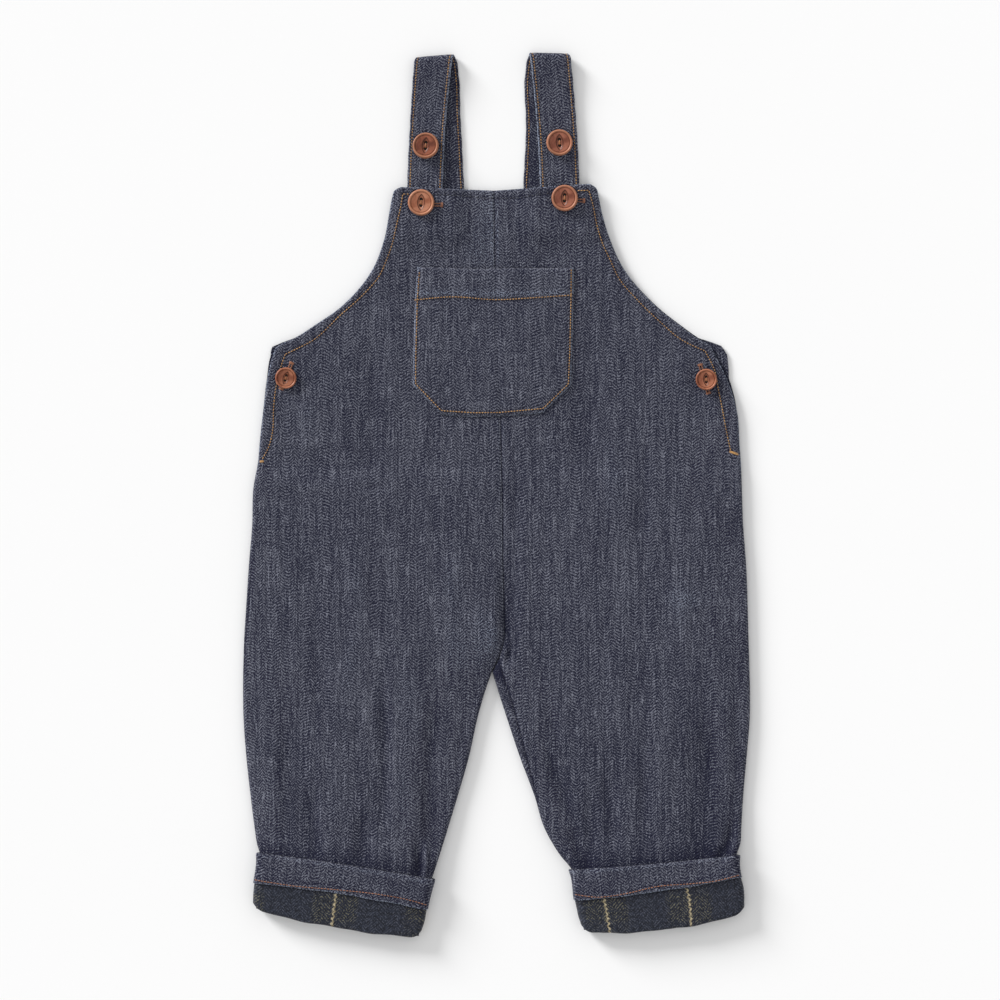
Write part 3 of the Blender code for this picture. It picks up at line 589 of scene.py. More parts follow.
BUTTON_DENT, BUTTON_SHADE = 0.55, 0.22


def under_buttons(points):
    """How far the cloth sinks under each button that it carries, and the painted shade at every button's edge."""
    sink, shade = np.zeros(len(points)), np.zeros(len(points))
    for button in BUTTONS:
        far = np.hypot(points[:, 0] - button.x, points[:, 1] - button.y)
        if "strap" not in button.node:
            sink -= BUTTON_DENT * bump(far, button.diameter * 0.62)
        shade -= BUTTON_SHADE * bump(np.maximum(far - button.diameter / 2, 0), 1.0)
    return sink, shade


print("buttons, mm:", [button.diameter for button in BUTTONS])

# %% Front panels
POCKET_OUTLINE = [
    (-54.6, 157.4), (-56.2, 137), (-57.4, 100), (-57.6, 76.4), (-38.2, 55.4), (-15, 53.8), (6, 54.2),
    (32, 57), (51.4, 76.4), (52.2, 100), (53.2, 137), (53.2, 157.4), (-54.6, 157.4),
]


FRONT_STEP, FRONT_COLUMNS, BACK_STEP, BACK_COLUMNS = 1.6, 84, 4.0, 40
EDGE_DROP, SEAM_DIP, MIDDLE_DIP, SEAM_WIDTH = 0.8, 0.4, 0.5, 0.9
CUFF_ROW = 7


def front_half(side):
    rows, uv, fade = [], [], []
    top = BODY[0].seam_y
    cuff_top = LEGS[side][CUFF_ROW].outer_y
    for section in half_sections(side, FRONT_STEP):
        line, at, back = spread(section.front(), FRONT_COLUMNS)
        side_roll, middle_roll = section.rolls
        joined = section.seams[0] > 0.5
        edge_open = 1 - side_roll
        inside_seam = float(ease(section.seams[1], 0.3, 2.0))
        middle_seam = max(1 - middle_roll, inside_seam)
        y = section.outer[1]
        deep = top - section.inner[1]
        line[:, 2] -= EDGE_DROP * edge_open * bump(at, SEAM_WIDTH) + SEAM_DIP * joined * bump(at, SEAM_WIDTH)
        line[:, 2] -= MIDDLE_DIP * middle_seam * bump(back, SEAM_WIDTH)
        line[:, 2] -= EDGE_DROP * float(bump(deep, 0.8))
        # Open edges are worn pale; where the side seam is joined, its dip gets painted shade.
        dye = 0.36 * edge_open * bump(at, 0.6) - 0.35 * joined * bump(at, 0.6)
        # Painted shade down the middle seam's valley, with a paler worn ridge beside it; the bib's top edge is worn
        # pale.
        valley = (0.35 + 0.45 * inside_seam) * middle_seam * bump(back, 0.7)
        dye = dye - valley + 0.12 * middle_seam * bump(back - 1.9, 0.8)
        dye = dye + 0.25 * float(bump(deep, 0.5))
        # Painted shade on the leg just above the cuff's top, where the turn-up shades it.
        above = y - cuff_top
        dye = dye - 0.42 * float(bump(max(above, 0.0), 7.0))
        # Crease troughs get painted shade; crease ridges are paler, partly worn and partly painted highlight. The cloth
        # is a little paler near its outer edge.
        relief = creased(line[:, 0], line[:, 1], FRONT_CREASES)
        dye = dye + 0.12 * np.clip(relief, -4.2, 1.4) + 0.06 * bump(at, 5.0)
        dye = dye + 0.10 * bump(line[:, 0] + 7, 12) * float(ease(y, 140, 170))
        dye = dye - 0.06 * float(ease(y, -60, -140)) * (side == "left")
        rows.append(line)
        uv.append(grain(side, line, at))
        fade.append(dye)
    rows = np.array(rows)
    flat = rows.reshape(-1, 3)
    sink, shade = under_buttons(flat)
    flat[:, 2] += sewn(flat[:, :2], facing_lines) + sink
    pocket_far, _ = near_line(flat[:, :2], corner_line(POCKET_OUTLINE))
    # Painted shade round each button's edge, a thin painted shadow round the pocket's outline, and painted shade in
    # each topstitch groove.
    dye = np.array(fade).ravel() + shade - 0.15 * bump(pocket_far, 1.2)
    for line in facing_lines:
        dye -= 0.22 * bump(near_line(flat[:, :2], line)[0], 1.3)
    return panel(f"front_{side}_cloth", rows, uv, dye, True)


fronts = {}
for side in ("right", "left"):
    piece, rows = front_half(side)
    fronts[side] = piece
    sheet_piece(piece, f"front_{side}", "denim", "laid", [f"back_{side}_cloth"], *measured(piece, rows))

# %% [markdown]
# ## Backs
# The back lies under everything, flat on the table. Two of its edges have rolled round to the front, one at the
# right side seam and one at the left inside leg.

# %% Back panels
def back_half(side):
    wrapping = [any(column(SEAMS[side], name)) for name in ("side", "inside")]
    rows, uv, fade = [], [], []
    for section in half_sections(side, BACK_STEP):
        wraps = [seam if wraps_here else None for seam, wraps_here in zip(section.seams, wrapping)]
        line, at, back = spread(section.back_panel(), BACK_COLUMNS, wraps)
        dye = np.zeros(len(line))
        for far, seam in ((at, section.seams[0]), (back, section.seams[1])):
            if seam > 1:
                line[:, 2] -= SEAM_DIP * bump(far, SEAM_WIDTH)
                # Painted shade in the seam's dip; each section where the back wraps round is also a little darker.
                dye = dye - 0.35 * bump(far, 0.6) - 0.10
        # Painted shadow where the left back shows in the gap between the legs at the crotch.
        dye = dye - 1.1 * float(bump(section.inner[1] + 119, 9)) * bump(back, 14) * (side == "left")
        # Where the back shows beyond the front's edge: a painted shadow line at that edge and painted shade over the
        # strip.
        if section.back > 0.5:
            dye = dye - 0.7 * bump(at - section.back, 1.6) - 0.15
        rows.append(line)
        uv.append(grain(side, line, at, 400))
        fade.append(dye)
    return panel(f"back_{side}_cloth", np.array(rows), uv, fade, False)


for side in ("right", "left"):
    piece, rows = back_half(side)
    sheet_piece(piece, f"back_{side}", "denim", "laid", ["tabletop"], *measured(piece, rows))

# %% [markdown]
# ## Surface probes
# A pocket, a button or a stitch sits on cloth that has creases in it. A ray dropped straight down on to a piece
# finds the height and the slope there, so nothing floats or sinks.

# %% Ray casting on the cloth
def probe_of(*objects):
    """A search tree over the open grids of some pieces."""
    points, faces = [], []
    for obj in objects:
        start = len(points)
        points += [corner.co[:] for corner in obj.data.vertices]
        faces += [tuple(start + k for k in face.vertices) for face in obj.data.polygons]
    return BVHTree.FromPolygons(points, faces)


def dropped(tree, x, y, fallback=5.0):
    """Height in millimetres and upward normal of the cloth at (x, y)."""
    place, normal, _, _ = tree.ray_cast(Vector((x * MM, y * MM, 0.1)), Vector((0, 0, -1)))
    if place is None:
        return fallback, Vector((0, 0, 1))
    return place.z / MM, normal if normal.z > 0 else -normal


body_probe = probe_of(*fronts.values())
print("height of the bib at its middle, mm:", round(dropped(body_probe, 20, 150)[0], 2))

# %% [markdown]
# ## Chest pocket
# A patch pocket is cut, hemmed at the top, folded in at its other edges and stitched down. Its points are dropped
# on to the bib and lifted, with a rounded folded edge, a thicker hem, and a little slack in the middle.

# %% Pocket
Pocket = namedtuple("Pocket", "y right_x left_x")
POCKET = rows_of(Pocket, [
    (157.4, -54.6, 53.2), (137, -56.2, 53.2), (100, -57.4, 52.2), (76.4, -57.6, 51.4), (66.4, -47.8, 41.4),
    (56.6, -38.2, 32),
])
POCKET_HEM = [(-56.6, 135.2), (-31.5, 137.3), (0.3, 135.4), (25.4, 136.7), (52.4, 138.6)]
POCKET_SIDES = [
    (-53.2, 154.4), (-54.6, 136.6), (-55.6, 100), (-55.8, 77.3), (-38, 58.9), (-16, 57.4), (2, 57.6),
    (32.2, 60.4), (49.6, 77.2), (50.6, 100), (51.4, 136.6), (51.6, 156.4),
]

POCKET_WALL, POCKET_GAP, POCKET_STEP, POCKET_COLUMNS = 1.1, 0.6, 1.5, 62
pocket_lines = [smooth_line(POCKET_HEM), corner_line(POCKET_SIDES)]


def pocket_cloth():
    ys = np.array(stations(column(POCKET, "y"), POCKET_STEP))
    edge = np.array([0.0, 0.35, 0.8, 1.4, 2.2])
    rows, uv = [], []
    for y in ys:
        right, left = (read(POCKET, "y", y, straight, name) for name in ("right_x", "left_x"))
        x = np.concatenate([right + edge, np.linspace(right + 3.2, left - 3.2, POCKET_COLUMNS), left - edge[::-1]])
        share = (x - right) / (left - right) * 2 - 1
        low = float(ease(y, 86.0, 56.6))
        line = y - 1.8 * low * (1 - share**2) + 0.6 * np.sin(x / 17.0) * low
        line = line + 0.9 * float(ease(y, 140.0, 157.0)) * (share**2 - 0.4 + 0.3 * np.sin(x / 9.0))
        side_gap = np.minimum(x - right, left - x)
        edge_gap = np.minimum(side_gap, min(ys[0] - y, y - ys[-1]))
        below = np.array([dropped(body_probe, a, b)[0] for a, b in zip(x, line)])
        fold = -1.15 * bump(edge_gap, 0.9)
        hem = 0.55 * float(ease(y, 134.0, 137.6))
        slack = 0.5 * (1 - np.abs(share) ** 4) * float(ease(y, 60.0, 84.0))
        z = below + POCKET_GAP + POCKET_WALL + fold + hem + slack
        rows.append(np.stack([x, line, z], axis=1))
        uv.append(np.stack([x * 0.99 + 800, line], axis=1))
    rows = np.array(rows)
    flat = rows.reshape(-1, 3)
    flat[:, 2] += sewn(flat[:, :2], pocket_lines, 0.4, 0.16)
    outline, _ = near_line(flat[:, :2], corner_line(POCKET_OUTLINE[:-1]))
    dye = 0.5 * bump(outline, 0.8) + 0.12 * bump(outline, 2.5)
    # Painted shade in the grooves of the pocket's stitch lines.
    for line in pocket_lines:
        dye -= 0.2 * bump(near_line(flat[:, :2], line)[0], 1.2)
    dye += 0.05 * ease(flat[:, 1], 134.0, 138.0) + 0.14 * bump(flat[:, 1] - 139.5, 2.6)
    return panel("chest_pocket_cloth", rows, uv, dye, True, POCKET_WALL)


pocket, rows = pocket_cloth()
sheet_piece(pocket, "chest_pocket", "denim", "laid", ["front_right_cloth", "front_left_cloth"], *measured(pocket, rows))

# %% [markdown]
# ## Shoulder straps
# Each strap is one band, sewn to the back, folded over at the shoulder and buttoned behind the bib. It is swept
# along its own path: the section is a thin pillow with a groove under each line of stitching.

# %% Straps
Strap = namedtuple("Strap", "root_x root_y fold_back_x fold_front_x top_y bib_x end_y bow low_width top_width tilt")
STRAPS = {
    "right": Strap(-35.4, 213.2, -41, -43.6, 305.2, -49.9, 186, -1.4, 24.6, 26.8, 2.2),
    "left": Strap(31.6, 214.6, 34.8, 37.2, 306.2, 44.2, 189, 1.5, 27.4, 28.2, 0.6),
}
STRAP_THICK = 2.0
FRONT_LAYER_Z = 3.4
LOOP_RADIUS = 2.2
TUCK = [(9.0, 1.25), (6.0, 1.25), (3.0, 1.22), (1.2, 1.0), (-0.4, 0.45), (-2.0, 0.12)]
TUCKED_UNDER = 4.0
STRAP_EDGE = np.array([0.0, 0.25, 0.8, 1.5, 2.1, 2.8, 4.2])
GROOVE_IN, SEAM_IN = 2.0, 2.1
UP_STEPS, TURN_STEPS, DOWN_STEPS = 31, 16, 45
strap_lines = {}


def strap_path(strap):
    """Middle line of a strap, from the back's top edge, over the fold, to its end behind the bib."""
    low = STRAP_THICK / 2
    turn_y = strap.top_y - STRAP_THICK / 2 - LOOP_RADIUS
    points = [(strap.root_x, strap.root_y - deep, low + rise) for deep, rise in TUCK]
    for n in range(1, UP_STEPS):
        share = n / UP_STEPS
        sway = 0.5 * sin(pi * share) * sin(5 * share) - 1.6 * np.sign(strap.bib_x) * bump(share - 0.8, 0.2)
        points.append((strap.root_x + (strap.fold_back_x - strap.root_x) * share + sway,
                       strap.root_y + (turn_y - strap.root_y) * share, low))
    for n in range(TURN_STEPS + 1):
        angle = -pi / 2 + pi * n / TURN_STEPS
        points.append((strap.fold_back_x + (strap.fold_front_x - strap.fold_back_x) * n / TURN_STEPS,
                       turn_y + LOOP_RADIUS * cos(angle), low + LOOP_RADIUS * (1 + sin(angle))))
    high = low + 2 * LOOP_RADIUS
    for n in range(1, DOWN_STEPS + 1):
        share = n / DOWN_STEPS
        y = turn_y + (strap.end_y - turn_y) * share
        bend = strap.bow * sin(pi * share)
        fall = float(ease(turn_y - y, 0, 34.0))
        points.append((strap.fold_front_x + (strap.bib_x - strap.fold_front_x) * share + bend,
                       y, high + (FRONT_LAYER_Z - high) * fall))
    return np.array(points)


def seam_paths(rows, run, across):
    """For each edge, the distance along the strap and the stitch line on its inner and outer faces."""
    count = len(across)
    rows = np.array(rows)
    places = [int(np.abs(across - edge * (STRAP_WIDTH / 2 - SEAM_IN)).argmin()) for edge in (-1, 1)]
    return [(run, rows[:, k], rows[:, 2 * count - 2 - k]) for k in places]


def strap_cloth(side, strap):
    path = strap_path(strap)
    ahead = np.gradient(path, axis=0)
    run = walked(path)
    half, thick = STRAP_WIDTH / 2, STRAP_THICK / 2
    right_edge = STRAP_EDGE - half
    across = np.concatenate([right_edge, [-8, -5.5, -3, 0, 3, 5.5, 8], -right_edge[::-1]])
    gap = half - np.abs(across)
    swell = np.clip(gap / 0.8, 0, 1) ** 0.5
    inward = -np.sign(strap.bib_x)
    front_start = int(np.argmax(path[:, 1]))
    rows, uv, fade = [], [], []
    for n, (point, (_, dy, dz), at) in enumerate(zip(path, ahead, run)):
        up = np.array([0.0, -dz, dy]) / np.hypot(dy, dz)
        pucker = 0.09 * np.sin(at / 1.3 + 2 * np.sin(at / 13.0)) * bump(gap - GROOVE_IN, 2.2)
        groove = 0.3 * bump(gap - GROOVE_IN, 0.75) * (swell > 0.9)
        lift = thick * swell - groove + pucker
        side_in = 0.12 * np.sin(at / 2.1 + 1.0)
        wide = across + side_in * np.sign(across) * (gap < 1)
        on_front = float(ease(n, front_start - 2, front_start + 3))
        fallen = float(ease(n, front_start, len(path) * 0.75))
        width = strap.top_width + (strap.low_width - strap.top_width) * fallen
        wide = wide * (1 + on_front * (width / STRAP_WIDTH - 1))
        thin = float(ease(at, 4.0, 14.0)) * 0.45 + 0.55
        lift = lift * thin
        curl = 0.8 * bump(half - across * inward, 3.0) * float(ease(n, front_start, front_start + 12))
        drop = -strap.tilt * (half - wide * inward) / STRAP_WIDTH * bump(path[front_start, 1] - point[1], 12.0)
        middle = point + np.stack([wide, drop, curl], axis=1)
        top = middle + up * lift[:, None]
        bottom = (middle - up * lift[:, None])[1:-1]
        inner = half - across * inward
        # Edges worn pale, palest along the front layer's inner edge; painted shade in the stitch grooves.
        dye = 0.25 * bump(gap, 0.5) + on_front * 0.5 * bump(inner - 0.3, 0.8) - 0.3 * bump(gap - GROOVE_IN, 0.8)
        # Painted shade over the back layer, which the front layer shadows.
        dye = dye - (0.14 if side == "right" else 0.24) * (1 - on_front)
        fade.append(np.concatenate([dye, dye[1:-1][::-1]]))
        rows.append(np.concatenate([top, bottom[::-1]]))
        u = np.concatenate([across, across[1:-1][::-1]]) + 600
        uv.append(np.stack([u, np.full(len(u), at)], axis=1))
    rows = np.maximum(np.array(rows), [-999.0, -999.0, 0.0])
    piece = lay_grid(f"strap_{side}_cloth", rows, uv, around=True)
    paint(piece, fade)
    close_skin(piece)
    strap_lines[side] = seam_paths(rows, run, across)
    return piece, run[-1]


for side, strap in STRAPS.items():
    piece, length = strap_cloth(side, strap)
    sheet_piece(piece, f"strap_{side}", "denim", "folded", [f"back_{side}_cloth"], (STRAP_WIDTH, length))

# %% [markdown]
# ## Cuffs
# Each leg ends in a turn-up. Its lining faces out below, brushed and checked, and the denim hem lies over the
# lining's upper edge. Both bands go right round the leg, so they are rings with a rounded profile.

# %% Cuff rings
CUFF_CLEAR = 0.5
LINING_OUT = CUFF_CLEAR + 1.6
HEM_OUT = LINING_OUT + 0.8
CORNER_LIFT = 4.0
RING = 232.0


def round_profile(points, steps):
    """A closed profile with more points on each stretch."""
    points = np.array(points + points[:1], float)
    found = []
    for a, b, count in zip(points, points[1:], steps):
        found += [a + (b - a) * n / count for n in range(count)]
    return found


HEM_PROFILE = round_profile(
    [(CUFF_CLEAR, 7.09), (CUFF_CLEAR + 0.5, 7.02), (HEM_OUT - 1.2, 6.99), (HEM_OUT - 0.35, 7.02), (HEM_OUT, 7.10),
     (HEM_OUT - 0.1, 7.82), (HEM_OUT, 8.14), (HEM_OUT - 0.4, 8.17), (LINING_OUT + 0.15, 8.17),
     (LINING_OUT + 0.15, 8.02), (CUFF_CLEAR, 8.0)],
    [1, 1, 1, 1, 9, 4, 1, 1, 1, 1, 4],
)
LINING_PROFILE = round_profile(
    [(CUFF_CLEAR, 8.06), (LINING_OUT, 8.06), (LINING_OUT, 9.0), (LINING_OUT, 10.0), (LINING_OUT - 0.12, 10.04),
     (LINING_OUT - 0.55, 10.085), (LINING_OUT - 1.3, 10.11), (-WALL + 1.2, 10.11), (-WALL + 0.4, 10.085),
     (-WALL + 0.05, 10.05), (-WALL, 10.03), (CUFF_CLEAR, 10.03), (CUFF_CLEAR, 9.0)],
    [1, 3, 6, 1, 1, 1, 1, 1, 1, 1, 1, 4, 3],
)


def spaced(line, middle):
    """The line with close points at its ends and that many between them."""
    total = walked(line)[-1]
    edge = np.array([0.0, 0.5, 1.0, 1.6, 2.3, 3.1, 4.0, 5.0])
    between = np.linspace(edge[-1], total - edge[-1], middle + 2)[1:-1]
    return sampled(line, np.concatenate([edge, between, total - edge[::-1]]))


def cuff_ring(side, out, row, wave):
    """Points round the leg, that far out from its skin, at that row of the leg's table."""
    heights = column(LEGS[side], "outer_y")
    whole = min(int(row), len(heights) - 2)
    section = Section(side, heights[whole] + (row - whole) * (heights[whole + 1] - heights[whole]), True)
    section.loft = 0.8
    over, under = (spaced(section.skin(above), count) for above, count in ((True, 66), (False, 40)))
    ring = np.concatenate([over, under[-2:0:-1]])
    ahead = np.roll(ring, -1, axis=0) - np.roll(ring, 1, axis=0)
    outward = np.stack([-ahead[:, 2], np.zeros(len(ring)), ahead[:, 0]], axis=1)
    outward /= np.linalg.norm(outward, axis=1, keepdims=True)
    if side == "left":
        outward = -outward
    around = walked(ring)
    made = ring + (out + wave[0] * np.sin(around / 3.1 + 1.5 * np.sin(around / 23.0)))[:, None] * outward
    made[:, 1] += wave[1] * (np.sin(around / 7.3) + 0.6 * np.sin(around / 3.7 + 1.1))
    if out <= LINING_OUT and row > 9.0:
        for edge in (made[:, 0].min(), made[:, 0].max()):
            close = np.clip(1 - np.abs(made[:, 0] - edge) / 6.0, 0, 1)
            made[:, 1] += CORNER_LIFT * float(ease(row, 9.2, 10.1)) * close**2
    made[:, 2] = np.maximum(made[:, 2], 0.0)
    return made, around


def cuff_band(name, side, profile, waves, dye, shift):
    """A ring of cloth. Waves gives (out, along) unevenness for a height along the profile, and the other function its
    wear and painted shade.
    """
    rows, uv, fade = [], [], []
    for out, row in profile:
        ring, around = cuff_ring(side, out, row, waves(out, row))
        rows.append(ring)
        uv.append(np.stack([around * RING / around[-1] + shift, -ring[:, 1]], axis=1))
        fade.append(np.full(len(ring), dye(out, row)))
    piece = lay_grid(name, rows, uv, around=True, along=True)
    paint(piece, fade)
    close_skin(piece)
    return piece


def hem_wear_and_shade(out, row):
    """The hem's raw lower edge and its upper fold are worn pale, and the stitched groove gets painted shade."""
    outside = out > LINING_OUT + 0.2
    low = bump(row - 8.14, 0.06) + 0.45 * bump(row - 7.07, 0.04)
    return outside * (0.5 * low - 0.3 * bump(row - 7.84, 0.05))


def lining_shadow_under_hem(out, row):
    # Painted shadow on the lining just under the hem's lower edge.
    return -0.4 * bump(row - 8.2, 0.12)


def hem_waves(out, row):
    low = float(ease(row, 7.5, 8.0)) * (out > LINING_OUT + 0.1)
    return 0.12 * low, 0.22 * low


def lining_waves(out, row):
    return 0.05, 0.35 * float(ease(row, 9.4, 10.1))


Cuff = namedtuple("Cuff", "kind slot profile waves dye uv_shift shown")
CUFFS = [
    Cuff("cuff_hem", "denim", HEM_PROFILE, hem_waves, hem_wear_and_shade, 1000, 25.0),
    Cuff("cuff_lining", "plaid_lining", LINING_PROFILE, lining_waves, lining_shadow_under_hem, 0, 21.0),
]
for side in ("right", "left"):
    for cuff in CUFFS:
        piece = cuff_band(f"{cuff.kind}_{side}_cloth", side, cuff.profile, cuff.waves, cuff.dye, cuff.uv_shift)
        sheet_piece(piece, f"{cuff.kind}_{side}", cuff.slot, "folded", ["tabletop"], (RING, cuff.shown))

# %% [markdown]
# ## Thread
# A stitch is a short, plump run of thread that dives into the cloth at both ends. Each is a small six-sided
# capsule, bent a little. A line of them is one joined mesh, which keeps thousands of faces in a few objects.

# %% Stitches
STITCH_RING = [(0.0, 0.30), (0.16, 0.85), (0.5, 1.0), (0.84, 0.85), (1.0, 0.30)]


def stitches(name, runs, thick):
    """One mesh of stitches. Each run gives start and end points and up vectors, in millimetres."""
    points, faces, sides = [], [], 6
    for start, end, up in runs:
        along = end - start
        across = np.cross(along, up)
        across = across / np.linalg.norm(across)
        first = len(points)
        for share, girth in STITCH_RING:
            arch = thick * 0.55 * (1 - (2 * share - 1) ** 2) - thick * 0.35
            middle = start + along * share + up * arch
            for k in range(sides):
                turn = 2 * pi * k / sides
                points.append(middle + thick * girth / 2 * (across * cos(turn) + up * sin(turn)))
        for ring in range(len(STITCH_RING) - 1):
            for k in range(sides):
                a, b = first + ring * sides + k, first + ring * sides + (k + 1) % sides
                faces.append((a, b, b + sides, a + sides))
        faces.append(tuple(first + k for k in reversed(range(sides))))
        last = first + (len(STITCH_RING) - 1) * sides
        faces.append(tuple(last + k for k in range(sides)))
    mesh = bpy.data.meshes.new(name)
    mesh.from_pydata((np.array(points) * MM).tolist(), [], faces)
    mesh.shade_smooth()
    made = bpy.data.objects.new(name, mesh)
    dressed.objects.link(made)
    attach(made, "root")
    pieces[name] = made
    print(f"{name}: {len(runs)} stitches")
    return made


def laid(tree, a, b, lift):
    """A stitch from a to b, both dropped on to the cloth."""
    (za, up), (zb, _) = dropped(tree, *a), dropped(tree, *b)
    return np.array([*a, za + lift]), np.array([*b, zb + lift]), np.array(up)


def runs_on(tree, line, pitch, length, lift=0.28, start=0.0):
    """Stitches laid on the cloth along a flat line."""
    total = walked(line)[-1]
    count = round(total / pitch)
    pitch = (total - length) / (count - 1)
    return [laid(tree, *sampled(line, start + np.array([n * pitch, n * pitch + length])), lift)
            for n in range(count - (start > 0))]


print("points along one stitch:", len(STITCH_RING))

# %% Topstitch on the body and pocket
PITCH, STITCH, THREAD = 2.0, 1.45, 0.74
GAP_SHADE_RUN = 0.4


def topstitch(tree, lines):
    return [run for line in lines for run in runs_on(tree, line, PITCH, STITCH)]


def stitch_gap_shade(tree, lines):
    """Short dark runs between the stitches: painted shade in the sinks where the needle went through."""
    start = STITCH + (PITCH - STITCH - GAP_SHADE_RUN) / 2
    return [(a, a + (b - a) * GAP_SHADE_RUN / STITCH, up) for line in lines
            for a, b, up in runs_on(tree, line, PITCH, STITCH, 0.08, start)]


stitches("body_topstitch", topstitch(body_probe, facing_lines[:4]), THREAD)
bib_ends = [corner_line([(-64.4, 208.2), (-60.2, 208.3)]), corner_line([(56.0, 210.6), (63.6, 210.8)])]
stitches("bib_end_topstitch", topstitch(body_probe, bib_ends), THREAD)
stitches("bib_top_stitch", runs_on(body_probe, smooth_line(BIB_TOP), 2.5, 1.5, 0.1), 0.5)

pocket_probe = probe_of(pocket)
stitches("pocket_topstitch", topstitch(pocket_probe, pocket_lines), THREAD)
holes = stitch_gap_shade(body_probe, facing_lines[:4] + bib_ends) + stitch_gap_shade(pocket_probe, pocket_lines)

# %% Topstitch on the straps
LAID_ON = 0.36


def strap_runs(seam, length, start=0.0, lift=0.1):
    """Stitches along one edge of a strap: all along its outer face, and on its inner face up to the fold."""
    run, inner, outer = seam
    turn = run[outer[:, 1].argmax()]
    found = []
    for shown, hidden, end in ((outer, inner, run[-1] - length), (inner, outer, turn)):
        for at in np.arange(TUCKED_UNDER + start, end, PITCH):
            a, b = [np.array([np.interp(place, run, shown[:, k]) for k in range(3)]) for place in (at, at + length)]
            up = a - np.array([np.interp(at, run, hidden[:, k]) for k in range(3)])
            up = up / np.linalg.norm(up)
            raised = up * lift + np.array([0.0, 0.0, LAID_ON * max(-up[2], 0.0)])
            found.append((a + raised, b + raised, up))
    return found


for side, edges in strap_lines.items():
    runs = [run for seam in edges for run in strap_runs(seam, STITCH)]
    stitches(f"strap_{side}_topstitch", runs, THREAD * 0.95)
    holes += [run for seam in edges for run in strap_runs(seam, GAP_SHADE_RUN, STITCH + 0.15, -0.05)]
# Dark runs between all the stitches, as painted shade where the needle went through.
stitches("stitch_gap_shade", holes, 0.6)

# %% [markdown]
# ## Buttons
# These are turned nut buttons: a raised rim, a dished face, and a hollow shaped like an eye with two holes in it.
# A round grid of heights gives all of that in one skin, and a lathe-like underside closes it.

# %% Button shape
EYE_HALF_TALL, EYE_HALF_WIDE = 0.62, 0.27
EYE_ARC = (EYE_HALF_TALL**2 + EYE_HALF_WIDE**2) / (2 * EYE_HALF_WIDE)
HOLE_AT, HOLE_SIZE = 0.23, 0.13
BUTTON_UNDERSIDE = [(1.01, 0.9), (0.97, 0.4), (0.86, 0.1), (0.6, 0.0), (0.05, 0.0)]


def eye_depth(x, y):
    """How far inside the eye a point of a button of radius 1 lies; negative outside it."""
    return EYE_ARC - np.hypot(np.abs(x) + EYE_ARC - EYE_HALF_WIDE, y)


def button_height(x, y, radius):
    """Height of the button's upper face at a point, for its radius."""
    x, y = x / radius, y / radius
    r = np.hypot(x, y)
    height = 2.0 + 0.45 * r**2 + 0.55 * bump(r - 0.90, 0.07) - 0.4 * bump(r - 0.785, 0.03)
    height = height - 1.6 * ease(r, 0.94, 1.0) ** 2
    inside = eye_depth(x, y)
    height = height - 0.55 * ease(inside, 0.0, 0.045) - 0.15 * ease(inside, 0.05, 0.30)
    for centre in (-HOLE_AT, HOLE_AT):
        height = height - 1.7 * (1 - ease(np.hypot(x, y - centre), HOLE_SIZE * 0.85, HOLE_SIZE * 1.1))
    return np.maximum(height, 0.2)


def button_piece(button):
    radius = button.diameter / 2
    rings = np.concatenate([np.linspace(0.02, 0.7, 34), np.linspace(0.715, 1.0, 20)]) * radius
    turns = np.linspace(0, 2 * pi, 80, endpoint=False)
    rows = []
    for ring, z in [(ring, None) for ring in rings] + [(share * radius, z) for share, z in BUTTON_UNDERSIDE]:
        x, y = ring * np.cos(turns), ring * np.sin(turns)
        height = button_height(x, y, radius) if z is None else np.full(len(x), z)
        rows.append(np.stack([x, y, height], axis=1))
    rows = np.array(rows)
    piece = lay_grid(f"{button.node}_turned", rows, rows[:, :, :2] + 50, around=True)
    depth = eye_depth(rows[:, :, 0] / radius, rows[:, :, 1] / radius)
    groove = bump(np.hypot(rows[:, :, 0], rows[:, :, 1]) / radius - 0.785, 0.035)
    # Painted shade along the eye's edge and in the rim's groove, and a painted highlight just inside the eye's edge.
    paint(piece, 0.2 * bump(depth - 0.10, 0.05) - bump(depth - 0.01, 0.045) - 0.45 * groove)
    close_skin(piece)
    piece.data.shade_smooth()
    return piece


print("radius of the eye's two arcs, in button radii:", round(EYE_ARC, 2))

# %% [markdown]
# ## Sewing the buttons on
# Each button lies where its solid lies, leaning as the strap or placket under it leans. Two short runs of thread
# join its holes.

# %% Sewing the buttons on
thread_runs = []
for button in BUTTONS:
    piece = button_piece(button)
    lean = max(abs(button.lean_x), abs(button.lean_y))
    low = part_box(button.node)[0][2] / MM + sin(radians(lean)) * button.diameter * 0.38
    piece.location = (button.x * MM, button.y * MM, low * MM)
    piece.rotation_euler = (radians(button.lean_x), radians(button.lean_y), radians(button.turn))
    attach(piece, "root")
    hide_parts(button.node)
    pieces[piece.name] = piece
    turned = piece.rotation_euler.to_matrix()
    along, across, up = (np.array(turned.col[k]) for k in (1, 0, 2))
    middle = np.array([button.x, button.y, low]) + up * 1.45
    for offset in (-0.3, 0.3):
        reach = along * 0.19 * button.diameter / 2
        thread_runs.append((middle - reach + across * offset, middle + reach + across * offset * 0.2, up))
stitches("button_thread", thread_runs, 0.75)

# %% [markdown]
# ## Buttonholes and bar tacks
# Buttonhole stitches lie side by side across a slit, and a wider bar closes each end. Most of each hole is under
# its button, so only the ends show.

# %% Buttonholes
Hole = namedtuple("Hole", "x0 y0 x1 y1")
HOLES = rows_of(Hole, [
    (-50, 201.2, -37.6, 200.8), (50, 204.2, 60.4, 203.6), (-141.4, 91.8, -148.6, 74), (140.6, 90.6, 146.2, 71),
])
HOLE_PITCH, SLIT_HALF, HOLE_HALF, BAR_HALF = 0.55, 0.35, 1.35, 1.9
ON_CLOTH = 0.2


